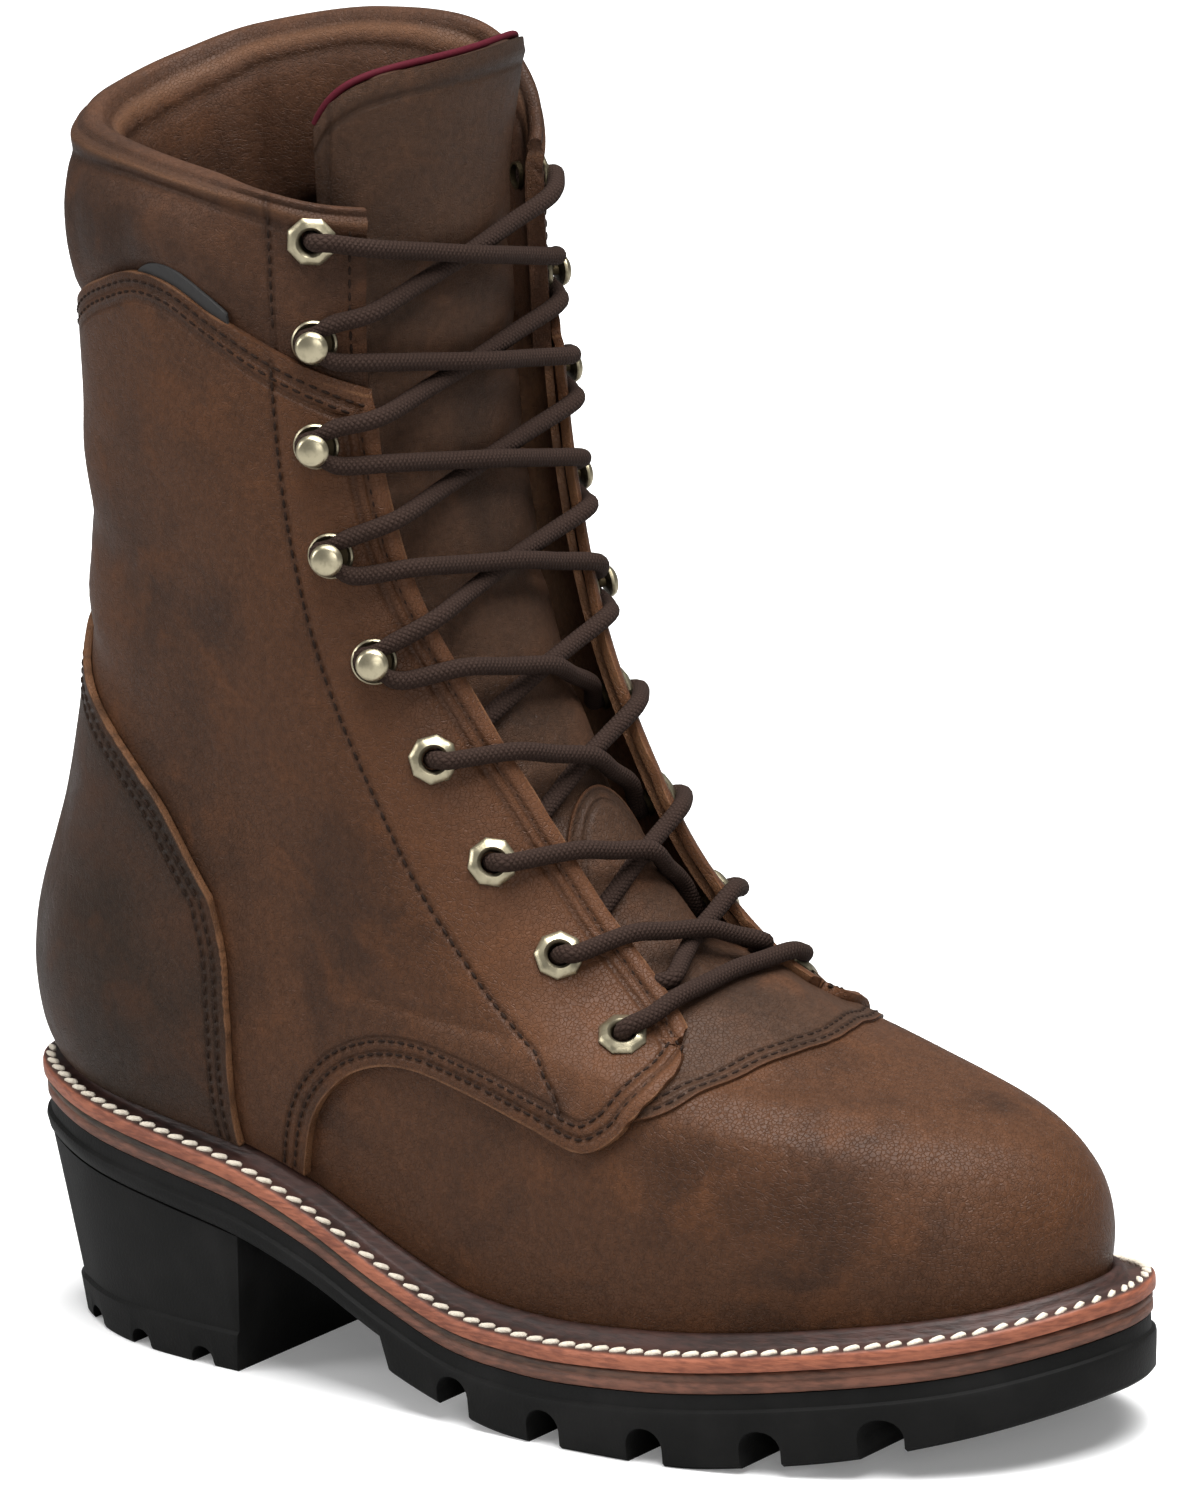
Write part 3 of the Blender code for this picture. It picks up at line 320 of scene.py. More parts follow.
# Edge of the throat: row, round
THROAT = [
    (4.0, 1.50), (5.0, 1.28), (5.4, 1.18), (6.1, 0.93), (7.2, 0.76),
    (8.6, 0.82), (10.0, 1.00), (11.4, 1.02), (13.0, 0.92), (14.0, 0.90),
]
# Seam between the quarter and the collar: round, row
COLLAR_SEAM = [
    (0.80, 11.28), (1.28, 11.52), (1.88, 11.84), (2.34, 12.14), (2.72, 12.38),
    (3.10, 12.46), (3.66, 12.32), (4.50, 12.00), (6.00, 11.80),
]
COLLAR_LAP = 0.18

# Colours of a hide: base, where handling darkened it and also the painted shade in stitch furrows, where the
# oil has left it warm
OILED_HIDE = ((0.077, 0.0335, 0.0165), (0.036, 0.0178, 0.0105), (0.106, 0.0420, 0.0175))
RAW_EDGE = (0.165, 0.078, 0.038)
FLESH_SIDE = ((0.110, 0.060, 0.034), OILED_HIDE[0], RAW_EDGE)
PRESS_DEPTH = 2.6
# Share of the hide's second colour painted into each stitch furrow as shade
FURROW_PAINTED_SHADE = 0.45


def new_node(tree, kind, values=(), **settings):
    """A node with its settings and the values of its first sockets, by name or by number."""
    made = tree.nodes.new(kind)
    for name, value in settings.items():
        setattr(made, name, value)
    for socket, value in dict(values).items():
        if isinstance(value, bpy.types.NodeSocket):
            tree.links.new(value, made.inputs[socket])
        else:
            made.inputs[socket].default_value = value
    return made


def maths(tree, operation, one, two=0.0, clamp=False):
    """The result of a Math node on two values or sockets."""
    values = {0: one, 1: two}
    return new_node(tree, "ShaderNodeMath", values, operation=operation, use_clamp=clamp).outputs[0]


def blended(tree, share, one, two, blend="MIX"):
    """The colour of a Mix node between two colours, each a socket or red, green and blue."""
    one, two = ((*colour, 1.0) if isinstance(colour, tuple) else colour for colour in (one, two))
    mix = new_node(tree, "ShaderNodeMix", {0: share, 6: one, 7: two}, data_type="RGBA", blend_type=blend)
    return mix.outputs[2]


def own(tree, label):
    """A number that the mesh carries under a name."""
    return new_node(tree, "ShaderNodeAttribute", attribute_name=label).outputs["Fac"]


def noise(tree, scale, detail=2.0, distortion=0.0, where=None):
    """A noise over the object's own coordinates."""
    where = where or new_node(tree, "ShaderNodeTexCoord").outputs["Object"]
    values = {"Vector": where, "Scale": scale, "Detail": detail, "Distortion": distortion}
    return new_node(tree, "ShaderNodeTexNoise", values).outputs[0]


def new_material(name, roughness, specular=0.5):
    """A material with its roughness and specular level: (material, tree, shader)."""
    made = bpy.data.materials.new(name)
    made.use_nodes = True
    shader = made.node_tree.nodes["Principled BSDF"]
    shader.inputs["Roughness"].default_value = roughness
    shader.inputs["Specular IOR Level"].default_value = specular
    return made, made.node_tree, shader


def paint(tree, colour, height=None, strength=0.5, distance=0.0002):
    """Leads a colour into a material's shader, and a bump from a height where there is one."""
    shader = tree.nodes["Principled BSDF"]
    tree.links.new(colour, shader.inputs["Base Color"])
    if height is not None:
        values = {"Strength": strength, "Distance": distance, "Height": height}
        bump = new_node(tree, "ShaderNodeBump", values)
        tree.links.new(bump.outputs[0], shader.inputs["Normal"])


def stretch(tree, value, low, high):
    """A value spread from 0 at low to 1 at high."""
    values = {0: value, 1: low, 2: high}
    return new_node(tree, "ShaderNodeMapRange", values, interpolation_type="SMOOTHSTEP").outputs[0]


def shader_group(name, inputs, outputs):
    """An empty node group with its sockets: (tree, inputs node, outputs node)."""
    tree = bpy.data.node_groups.new(name, "ShaderNodeTree")
    for label, kind, value in inputs:
        socket = tree.interface.new_socket(label, in_out="INPUT", socket_type="NodeSocket" + kind)
        socket.default_value = value
    for label, kind in outputs:
        tree.interface.new_socket(label, in_out="OUTPUT", socket_type="NodeSocket" + kind)
    return tree, tree.nodes.new("NodeGroupInput"), tree.nodes.new("NodeGroupOutput")


# Hide: the colour, sheen and pores of oiled leather that has been handled
hide, hide_in, hide_out = shader_group(
    "Hide",
    [
        ("Base", "Color", (0.1, 0.05, 0.03, 1)), ("Shade", "Color", (0.05, 0.025, 0.015, 1)),
        ("Warm", "Color", (0.16, 0.06, 0.03, 1)), ("Roughness", "Float", 0.45),
        ("Pore Scale", "Float", 1.0),
    ],
    [("Color", "Color"), ("Roughness", "Float"), ("Height", "Float")],
)
where = new_node(hide, "ShaderNodeTexCoord").outputs["Object"]
patches = noise(hide, 21.0, 4.0, 0.6, where)
blotches = noise(hide, 68.0, 5.0, 0.4, where)
speckle = noise(hide, 560.0, 3.0, where=where)
pore_scale = maths(hide, "MULTIPLY", hide_in.outputs["Pore Scale"], 950.0)
pores = new_node(
    hide, "ShaderNodeTexVoronoi", {"Vector": where, "Scale": pore_scale}, feature="DISTANCE_TO_EDGE"
)
shade_mask = maths(hide, "MULTIPLY", stretch(hide, patches, 0.44, 0.66), 0.75)
warm_mask = maths(hide, "MULTIPLY", stretch(hide, blotches, 0.50, 0.72), 0.55)
colour = blended(hide, shade_mask, hide_in.outputs["Base"], hide_in.outputs["Shade"])
colour = blended(hide, warm_mask, colour, hide_in.outputs["Warm"])
speck = new_node(hide, "ShaderNodeMapRange", {0: speckle, 1: 0.3, 2: 0.7, 3: 0.82, 4: 1.18}).outputs[0]
speck_colour = new_node(hide, "ShaderNodeCombineColor", {0: speck, 1: speck, 2: speck}).outputs[0]
colour = blended(hide, 1.0, colour, speck_colour, "MULTIPLY")
wetness = maths(hide, "MULTIPLY", maths(hide, "SUBTRACT", blotches, 0.5), 0.35)
hide.links.new(colour, hide_out.inputs["Color"])
hide.links.new(maths(hide, "ADD", hide_in.outputs["Roughness"], wetness, True), hide_out.inputs["Roughness"])
cells = stretch(hide, pores.outputs[0], 0.0, 0.12)
undulation = maths(hide, "MULTIPLY", blotches, 2.2)
relief = maths(hide, "ADD", maths(hide, "MULTIPLY", cells, 0.45), maths(hide, "MULTIPLY", speckle, 0.8))
hide.links.new(maths(hide, "ADD", relief, undulation), hide_out.inputs["Height"])

# Press: how hard a row of stitches at a distance from a panel's edge pulls the leather in, which both sinks
# the leather and sets how much painted shade goes into the furrow
press, press_in, press_out = shader_group(
    "Press",
    [("Distance", "Float", 0.0), ("Row", "Float", 3.0), ("Width", "Float", 0.8)],
    [("Mask", "Float")],
)
away = maths(press, "SUBTRACT", press_in.outputs["Distance"], press_in.outputs["Row"])
away = maths(press, "DIVIDE", away, press_in.outputs["Width"])
steep = maths(press, "POWER", maths(press, "ABSOLUTE", away), 4.0)
press.links.new(maths(press, "DIVIDE", 1.0, maths(press, "ADD", 1.0, steep)), press_out.inputs["Mask"])


def leather(name, colours, roughness, edge=RAW_EDGE, rows=(), lines=(), pore_scale=1.0, tint=None):
    """Leather whose panel carries the distance to its edge, pressed along rows of stitches, with painted
    shade darkening each furrow.

    rows are distances from the edge in millimetres, and lines are names of the panel's own
    distances to other rows of stitches. tint is the name of a share and the colour that it adds.
    """
    made, tree, shader = new_material(name, roughness, 0.13)
    skin_of = new_node(tree, "ShaderNodeGroup", node_tree=hide)
    for socket, value in zip(("Base", "Shade", "Warm"), colours):
        skin_of.inputs[socket].default_value = (*value, 1.0)
    skin_of.inputs["Roughness"].default_value = roughness
    skin_of.inputs["Pore Scale"].default_value = pore_scale
    colour = skin_of.outputs["Color"]
    height = skin_of.outputs["Height"]
    if tint:
        colour = blended(tree, own(tree, tint[0]), colour, tint[1])
    distance = own(tree, "edge_mm")
    pulled_in = [(distance, row) for row in rows] + [(own(tree, line), 0.0) for line in lines]
    for measured, row in pulled_in:
        mask = new_node(tree, "ShaderNodeGroup", node_tree=press)
        tree.links.new(measured, mask.inputs["Distance"])
        mask.inputs["Row"].default_value = row
        height = maths(tree, "SUBTRACT", height, maths(tree, "MULTIPLY", mask.outputs[0], PRESS_DEPTH))
        # Painted shade: each stitch furrow is darkened towards the hide's second colour
        colour = blended(tree, maths(tree, "MULTIPLY", mask.outputs[0], FURROW_PAINTED_SHADE), colour, colours[1])
    raw = maths(tree, "SUBTRACT", 1.0, stretch(tree, distance, 0.15, 0.75), True)
    paint(tree, blended(tree, raw, colour, edge), height, 0.9, 0.00028)
    tree.links.new(skin_of.outputs["Roughness"], shader.inputs["Roughness"])
    return made


def drape(name, points, wrapped=False, **measures):
    """A grid laid on rows and columns of points, facing out where columns run round the boot.

    measures are numbers for every point, kept on the mesh under their names. A wrapped grid is a
    tube: its last column meets its first, and its ends are closed.
    """
    if wrapped:
        points = np.concatenate([points, points[:, :1]], 1)
    rows, columns = points.shape[:2]
    bpy.ops.object.select_all(action="DESELECT")
    bpy.ops.mesh.primitive_grid_add(x_subdivisions=columns - 1, y_subdivisions=rows - 1, size=1.0)
    piece = bpy.context.object
    piece.name = name
    piece.data.name = name
    piece.data.vertices.foreach_set("co", np.ascontiguousarray(points[:, ::-1]).ravel())
    for label, numbers in measures.items():
        numbers = np.broadcast_to(np.asarray(numbers, float), (rows, numbers.shape[1]))
        if wrapped:
            numbers = np.concatenate([numbers, numbers[:, :1]], 1)
        stored = piece.data.attributes.new(label, "FLOAT", "POINT")
        stored.data.foreach_set("value", np.ascontiguousarray(numbers[:, ::-1]).ravel())
    if wrapped:
        bpy.ops.object.mode_set(mode="EDIT")
        bpy.ops.mesh.select_all(action="SELECT")
        bpy.ops.mesh.remove_doubles(threshold=1e-6)
        bpy.ops.mesh.select_all(action="DESELECT")
        bpy.ops.mesh.select_mode(type="EDGE")
        bpy.ops.mesh.select_non_manifold()
        bpy.ops.mesh.edge_face_add()
        bpy.ops.mesh.select_all(action="SELECT")
        bpy.ops.mesh.normals_make_consistent(inside=False)
        bpy.ops.object.mode_set(mode="OBJECT")
    return piece


def pick(*pieces):
    """Selects pieces and nothing else, the first of them active."""
    bpy.ops.object.select_all(action="DESELECT")
    for piece in pieces:
        piece.select_set(True)
    bpy.context.view_layer.objects.active = pieces[0]


def modify(piece, kind, **settings):
    """Adds a modifier with its settings and applies it."""
    pick(piece)
    tool = piece.modifiers.new(kind.title(), kind)
    for name, value in settings.items():
        setattr(tool, name, value)
    bpy.ops.object.modifier_apply(modifier=tool.name)


def round_edges(piece, width, angle):
    """Rounds the edges of a piece that are sharper than an angle in degrees."""
    modify(piece, "BEVEL", width=width, segments=2, limit_method="ANGLE", angle_limit=math.radians(angle))


def thicken(piece, thickness, direction, rounding=0.0004, even=True):
    """Gives a panel its leather's thickness, outward or inward, and rounds its cut edges."""
    modify(
        piece, "SOLIDIFY", thickness=thickness, offset=direction, use_even_offset=even,
        material_offset=len(piece.data.materials) - 1,
    )
    if rounding:
        round_edges(piece, rounding, 60)


def sew_in(piece, slot_name, *nodes, smooth_angle=50):
    """Shades a finished piece, says what it rides on and hides the nodes that it stands for; slot_name is not
    used.
    """
    pick(piece)
    bpy.ops.object.shade_smooth_by_angle(angle=math.radians(smooth_angle))
    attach(piece, "root")
    if nodes:
        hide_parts(*nodes)


def distance_to(points, route):
    """Distance in millimetres from each point to the nearest of a route's points."""
    flat = points.reshape(-1, 3)
    nearest = np.full(len(flat), 1e9)
    for start in range(0, len(flat), 4000):
        apart = flat[start : start + 4000, None] - route[None]
        nearest[start : start + 4000] = np.sqrt((apart**2).sum(-1)).min(1)
    return nearest.reshape(points.shape[:-1]) * 1000


def throat_edge(row):
    """Place round the boot of the throat's edge at a row."""
    return read(THROAT, row)


turns = np.linspace(0, ROUND, 145)
low = place(*np.meshgrid(turns, np.linspace(0, VAMP_EDGE_ROW, 40)))
around = turns[(turns > WALL_BASE - 0.01) & (turns < ROUND - WALL_BASE + 0.01)]
share = (around - WALL_BASE) / (ROUND - 2 * WALL_BASE)
top_edge = throat_edge(COLLAR_SEAM[0][1]) + WALL_TUCK
wall_top = read(COLLAR_SEAM, mirrored(top_edge + share * (ROUND - 2 * top_edge))) - COLLAR_LAP
steps = np.linspace(0, 1, 60)[:, None]
rows = VAMP_EDGE_ROW + (wall_top - VAMP_EDGE_ROW) * steps
edge = WALL_BASE + (throat_edge(rows) + WALL_TUCK - WALL_BASE) * smooth(steps / 0.08)
high = place(edge + share * (ROUND - 2 * edge), rows)
vamp_leather = leather("vamp_leather", OILED_HIDE, 0.40)
flesh_leather = leather("flesh_side", FLESH_SIDE, 0.80, pore_scale=0.6)
vamp = drape("vamp", low, edge_mm=9 + 0 * low[..., 0])
shaft_wall = drape("shaft_wall", high, edge_mm=distance_to(high, np.vstack([high[:, 0], high[:, -1]])))
pick(vamp, shaft_wall)
bpy.ops.object.join()
bpy.ops.object.mode_set(mode="EDIT")
bpy.ops.mesh.select_all(action="SELECT")
bpy.ops.mesh.remove_doubles(threshold=1e-5)
bpy.ops.object.mode_set(mode="OBJECT")
vamp.data.materials.append(vamp_leather)
vamp.data.materials.append(flesh_leather)
thicken(vamp, LEATHER, -1, rounding=0)
sew_in(vamp, "leather", "upper")


# The quarters: two side panels of the same hide with the eyestay in one, laid over the wall. Their
# cut edges stay raw. Waxed thread holds them in two rows below and one along the throat.
SEAT = 0.0009
OVERLAY = 0.0015
QUARTER_SEAT = 0.0002
QUARTER_LEATHER = SEAT + OVERLAY - QUARTER_SEAT
# Lower edge of the quarter, round its tab, over the arch and down to the welt: round, row
QUARTER_EDGE = [
    (1.18, 5.35), (1.38, 4.98), (1.64, 4.35), (1.90, 3.55), (2.06, 2.94), (2.20, 2.62),
    (2.36, 2.86), (2.54, 3.14), (2.74, 3.27), (2.92, 2.98), (3.08, 2.40), (3.20, 1.60), (3.30, 0.42),
]
# Inner edge of the eyestay, where it is sewn through: row, round
STAY_LINE = [
    (4.0, 2.18), (5.4, 2.00), (6.3, 1.90), (7.4, 1.86), (9.3, 1.88), (10.8, 1.87), (11.9, 1.84),
    (13.1, 1.80),
]
QUARTER_COLUMNS = 120
QUARTER_ROWS = 100
STITCH_PITCH = 0.0031
STITCH_LENGTH = 0.0025
THREAD = 0.00042
STITCH_SUNK = 0.15
# Rows of stitches: distances from the lower edge, and from the upper one
EDGE_BAND = 0.0032
SECOND_ROW = 0.0066
TOP_ROWS = (0.0022, 0.0048)
BAND_RISE = 0.0007
BAND_MIDDLE = 1.5
BAND_REACH = 1.25
THREAD_BROWN = (0.014, 0.0080, 0.0055)
THREAD_LIT = (0.028, 0.0150, 0.0100)
STAY_TINT = (0.118, 0.050, 0.0240)


def local_scale(turn, row):
    """Metres of skin for one step round and for one row."""
    step = 0.02
    round_way = (skin(turn + step, row) - skin(turn - step, row)) / (2 * step)
    up_way = (skin(turn, row + step) - skin(turn, row - step)) / (2 * step)
    return round_way, up_way


def inset(route, distance):
    """A route of places moved sideways over the skin by a distance, to the right of its travel."""
    turn, row = route.T
    normal = outward(turn, row)
    ahead = np.gradient(skin(turn, row), axis=0)
    side = unit(np.cross(ahead, normal)) * distance
    round_way, up_way = local_scale(turn, row)
    aa = (round_way**2).sum(1)
    bb = (up_way**2).sum(1)
    ab = (round_way * up_way).sum(1)
    a = (side * round_way).sum(1)
    b = (side * up_way).sum(1)
    rest = aa * bb - ab**2
    return np.stack([turn + (a * bb - b * ab) / rest, row + (b * aa - a * ab) / rest], 1)


def evened(route, spacing=0.002):
    """A route of places resampled at an even spacing over the skin."""
    run = run_along(skin(*route.T))
    marks = np.linspace(0, run[-1], max(3, int(run[-1] / spacing)))
    return np.stack([np.interp(marks, run, route[:, 0]), np.interp(marks, run, route[:, 1])], 1)


thread_brown, tree, shader = new_material("thread_brown", 0.75, 0.10)
paint(tree, blended(tree, stretch(tree, noise(tree, 2600.0), 0.35, 0.65), THREAD_BROWN, THREAD_LIT))

bpy.ops.object.select_all(action="DESELECT")
bpy.ops.mesh.primitive_uv_sphere_add(segments=6, ring_count=5, radius=1.0)
stitch_model = bpy.context.object
stitch_shape = np.empty(len(stitch_model.data.vertices) * 3)
stitch_model.data.vertices.foreach_get("co", stitch_shape)
stitch_shape = stitch_shape.reshape(-1, 3)
stitch_faces = [list(face.vertices) for face in stitch_model.data.polygons]
bpy.data.objects.remove(stitch_model)


def sew(name, corners, thread, slot_name):
    """One piece of all the stitches of a seam, from the corners of each."""
    count = len(stitch_shape)
    faces = [[corner + k * count for corner in face] for k in range(len(corners)) for face in stitch_faces]
    mesh = bpy.data.meshes.new(name)
    mesh.from_pydata(np.concatenate(corners), [], faces)
    piece = bpy.data.objects.new(name, mesh)
    bpy.context.scene.collection.objects.link(piece)
    mesh.materials.append(thread)
    sew_in(piece, slot_name, smooth_angle=80)


def stitches(name, routes, lift):
    """Rows of short stitches along routes of places, each a bead of thread pulled into the leather."""
    corners = []
    for route in routes:
        fine = evened(np.asarray(route, float), 0.0005)
        points = place(*fine.T, lift)
        run = run_along(points)
        marks = np.arange(STITCH_PITCH / 2, run[-1], STITCH_PITCH)
        index = np.clip(np.searchsorted(run, marks), 2, len(points) - 3)
        ahead = unit(points[index + 2] - points[index - 2])
        up = outward(*fine[index].T)
        side = np.cross(up, ahead)
        size = stitch_shape * (STITCH_LENGTH / 2, THREAD, THREAD)
        for middle, along, across, rise in zip(points[index], ahead, side, up):
            corners.append(middle - rise * THREAD * STITCH_SUNK + size @ np.stack([along, across, rise]))
    sew(name, corners, thread_brown, "leather_dark")


def other_side(route, medial):
    """A route on the outer side, or the same on the inner side."""
    route = np.asarray(route, float)
    if not medial:
        return route
    return np.stack([ROUND - route[:, 0], route[:, 1]], 1)


def on_side(route, medial, lift):
    """Points close together along a route, on either side of the boot."""
    return place(*evened(other_side(route, medial), 0.001).T, lift)


quarter_leather = leather(
    "quarter_leather", OILED_HIDE, 0.42, rows=(EDGE_BAND * 1000, SECOND_ROW * 1000), lines=("stay_mm",),
    tint=("stay_share", STAY_TINT),
)
front = QUARTER_EDGE[0][0]
foot_turns = np.concatenate([
    np.linspace(front, 3.30, 76), np.linspace(3.30, 5.98, QUARTER_COLUMNS - 75)[1:],
])
steps = np.linspace(0, 1, QUARTER_ROWS)[:, None] ** 1.15
foot = read(QUARTER_EDGE, foot_turns)
rows = foot + (read(COLLAR_SEAM, foot_turns) - foot) * steps
fade = np.clip(1 - (foot_turns - front) / 1.2, 0, 1)
around = foot_turns + (throat_edge(rows) - front) * fade * np.clip(steps / 0.05, 0, 1)
around += 0.07 * fade**6 * np.exp(-((steps / 0.02) ** 2))
throat_route = np.stack([throat_edge(np.linspace(5.38, 11.25, 90)), np.linspace(5.38, 11.25, 90)], 1)
fine_foot = np.linspace(front, 3.30, 160)
foot_route = np.stack([fine_foot, read(QUARTER_EDGE, fine_foot)], 1)
fine_top = np.linspace(throat_edge(11.3), 5.6, 120)
top_route = np.stack([fine_top, read(COLLAR_SEAM, fine_top)], 1)
rolled_route = np.vstack([throat_route[::-1], foot_route[fine_foot < 1.95]])
stay_rows = np.linspace(3.15, 11.75, 90)
stay_route = np.stack([read(STAY_LINE, stay_rows), stay_rows], 1)
stay_route[:, 0] += np.clip(4.0 - stay_rows, 0, 1) * 0.05
for side, medial in (("lateral", False), ("medial", True)):
    turn = ROUND - around if medial else around
    points = place(turn, rows, QUARTER_SEAT)
    rolled = on_side(rolled_route, medial, QUARTER_SEAT)
    band = np.exp(-(((distance_to(points, rolled) - BAND_MIDDLE) / BAND_REACH) ** 4))
    points = place(turn, rows, QUARTER_SEAT + BAND_RISE * band)
    edges = [on_side(route, medial, QUARTER_SEAT) for route in (throat_route, foot_route, top_route)]
    stay_points = on_side(stay_route, medial, QUARTER_SEAT)
    inside_stay = np.clip((read(STAY_LINE, rows) - around) / 0.05 + 0.5, 0, 1)
    measures = {
        "edge_mm": distance_to(points, np.vstack(edges)),
        "stay_mm": distance_to(points, stay_points),
        "stay_share": 0.30 * inside_stay + 0.35 * band,
    }
    if medial:
        points = points[:, ::-1]
        measures = {name: numbers[:, ::-1] for name, numbers in measures.items()}
    quarter = drape(f"quarter_{side}_panel", points, **measures)
    quarter.data.materials.append(quarter_leather)
    thicken(quarter, QUARTER_LEATHER, 1)
    sew_in(quarter, "leather", f"quarter_{side}")
    sign = -1 if medial else 1
    seams = (
        (foot_route, EDGE_BAND), (foot_route, SECOND_ROW), (throat_route, -EDGE_BAND),
        (top_route, -TOP_ROWS[0]), (top_route, -TOP_ROWS[1]), (stay_route, 0.0),
    )
    stitches(
        f"quarter_{side}_stitches",
        [inset(evened(other_side(route, medial)), distance * sign) for route, distance in seams],
        SEAT + OVERLAY,
    )


# The counter: a cup of stiff, darker hide that holds the heel, sewn over both quarters in two rows.
COUNTER_LEATHER = 0.0021
COUNTER_LIFT = SEAT + OVERLAY + 0.0001
OVERLAY_FOOT_ROW = 0.42
# Upper edge: round, row. Front edge: row, round
COUNTER_EDGE = [
    (3.30, 5.90), (3.36, 6.34), (3.46, 6.86), (3.62, 7.24), (3.82, 7.54), (4.10, 7.84), (4.60, 8.20),
    (5.20, 8.56), (6.00, 8.80),
]
COUNTER_FRONT = [(0.42, 3.52), (1.02, 3.50), (2.20, 3.46), (3.56, 3.42), (5.08, 3.34), (5.90, 3.30)]
COUNTER_ROWS = (0.0032, 0.0062)
COUNTER_HIDE = ((0.043, 0.0215, 0.0125), (0.023, 0.0140, 0.0090), (0.066, 0.028, 0.0135))

half = np.concatenate([np.linspace(3.30, 4.2, 34), np.linspace(4.2, BACK, 30)[1:]])
counter_top = read(COUNTER_EDGE, half)
rows = OVERLAY_FOOT_ROW + (counter_top - OVERLAY_FOOT_ROW) * np.linspace(0, 1, 70)[:, None]
fade = np.clip(1 - (half - half[0]) / 0.9, 0, 1)
around = half + (read(COUNTER_FRONT, rows) - COUNTER_FRONT[-1][1]) * fade
around = np.hstack([around, ROUND - around[:, -2::-1]])
rows = np.hstack([rows, rows[:, -2::-1]])
points = place(around, rows, COUNTER_LIFT)
counter_rows = np.linspace(0.5, 5.9, 80)
counter_front = np.stack([read(COUNTER_FRONT, counter_rows), counter_rows], 1)
counter_turns = np.linspace(3.305, BACK, 90)
counter_upper = np.stack([counter_turns, read(COUNTER_EDGE, counter_turns)], 1)
counter_route = np.vstack([counter_front, counter_upper])
edges = [on_side(counter_route, medial, COUNTER_LIFT) for medial in (False, True)]
counter = drape("heel_counter", points, edge_mm=distance_to(points, np.vstack(edges)))
counter.data.materials.append(
    leather("counter_leather", COUNTER_HIDE, 0.46, rows=[1000 * row for row in COUNTER_ROWS])
)
thicken(counter, COUNTER_LEATHER, 1)
sew_in(counter, "leather_dark", "counter")
stitches(
    "counter_stitches",
    [
        inset(evened(other_side(counter_route, medial)), distance if medial else -distance)
        for medial in (False, True) for distance in COUNTER_ROWS
    ],
    COUNTER_LIFT + COUNTER_LEATHER,
)


# The backstay: a narrow strip of hide that hides the seam between the quarters up the back.
STRIP_LEATHER = 0.0013
STRIP_HALF_WIDTH = 0.42
STRIP_START = 8.62
STRIP_SEAM = 0.0022
turns = BACK + STRIP_HALF_WIDTH * np.linspace(-1, 1, 15)
strip_top = read(COLLAR_SEAM, mirrored(turns)) + 0.03
rows = STRIP_START + (strip_top - STRIP_START) * np.linspace(0, 1, 50)[:, None]
points = place(turns + 0 * rows, rows, SEAT + OVERLAY)
points_edge = distance_to(points, np.vstack([points[:, 0], points[:, -1]]))
backstay = drape("backstay_strip", points, edge_mm=points_edge)
backstay.data.materials.append(leather("backstay_leather", OILED_HIDE, 0.42, rows=(1000 * STRIP_SEAM,)))
thicken(backstay, STRIP_LEATHER, 1)
sew_in(backstay, "leather", "backstay")
strip_rows = np.linspace(8.95, 11.75, 60)
stitches(
    "backstay_stitches",
    [inset(np.stack([BACK + side * STRIP_HALF_WIDTH + 0 * strip_rows, strip_rows], 1), side * STRIP_SEAM)
     for side in (-1, 1)],
    SEAT + OVERLAY + STRIP_LEATHER,
)


# The collar: a facing of soft leather with the top eyelets, and behind it a foam roll that the same
# leather is folded over. The fold is sewn down, which leaves a double ridge along the rim.
COLLAR_RIM = [
    (0.60, 12.85), (0.95, 12.92), (1.50, 13.02), (2.00, 13.14), (3.00, 13.34), (4.00, 13.48),
    (5.00, 13.58),
    (6.00, 13.66), (7.00, 13.76), (8.00, 13.90), (9.00, 13.98), (9.80, 13.86), (10.50, 13.45),
    (11.00, 13.06), (11.40, 12.95),
]
PADDING_START = 1.85
PADDING_FULL = 2.60
# Section of the collar: share of its height, or -1 at its lower edge, and the offset in
# millimetres where it is flat and where it is padded, from the outer face over the rim and in
COLLAR_SECTION = [
    (-1.00, 0.0, 0.0), (-0.40, 0.0, 0.2), (0.00, 0.0, 0.6), (0.14, 0.0, 2.5), (0.34, 0.0, 3.9),
    (0.56, 0.0, 4.0), (0.74, 0.0, 2.6), (0.83, 0.0, 1.2), (0.88, 0.2, 1.3), (0.92, 0.7, 1.4),
    (0.95, 0.6, 0.8), (0.965, 0.0, -0.4),
    (0.98, 0.2, -1.0), (1.00, 0.0, -2.2), (1.01, -1.2, -4.2), (1.00, -2.6, -6.2), (0.975, -3.4, -7.8),
    (0.95, -3.0, -8.6), (0.92, -3.6, -10.2), (0.84, -4.2, -12.0), (0.66, -4.4, -13.4), (0.40, -4.4, -13.0),
    (0.15, -4.4, -10.5), (0.00, -4.4, -7.2), (-1.00, -4.4, -4.6),
]
# Pinches across the roll, where the rim bends round: round, width round, depth in millimetres
PINCHES = [
    (2.55, 0.16, 0.5), (3.25, 0.14, 0.9), (3.95, 0.16, 0.8), (4.75, 0.18, 1.1), (5.40, 0.16, 0.7),
    (6.30, 0.2, 0.9), (7.20, 0.16, 0.9), (7.95, 0.15, 1.3), (8.70, 0.17, 1.0), (9.35, 0.14, 1.2),
    (9.95, 0.14, 0.8), (10.5, 0.12, 0.6),
]
# Shares of the height where the fold is sewn down, and where its two ridges catch the light
FOLD_SEAMS = (0.83, 0.965)
FOLD_RIDGE = 0.925
MM_PER_STEP = 26
COLLAR_HIDE = ((0.070, 0.0325, 0.0180), (0.031, 0.0160, 0.0100), (0.095, 0.0400, 0.0190))
COLLAR_LIT = (0.150, 0.072, 0.036)
COLLAR_STATIONS = 230

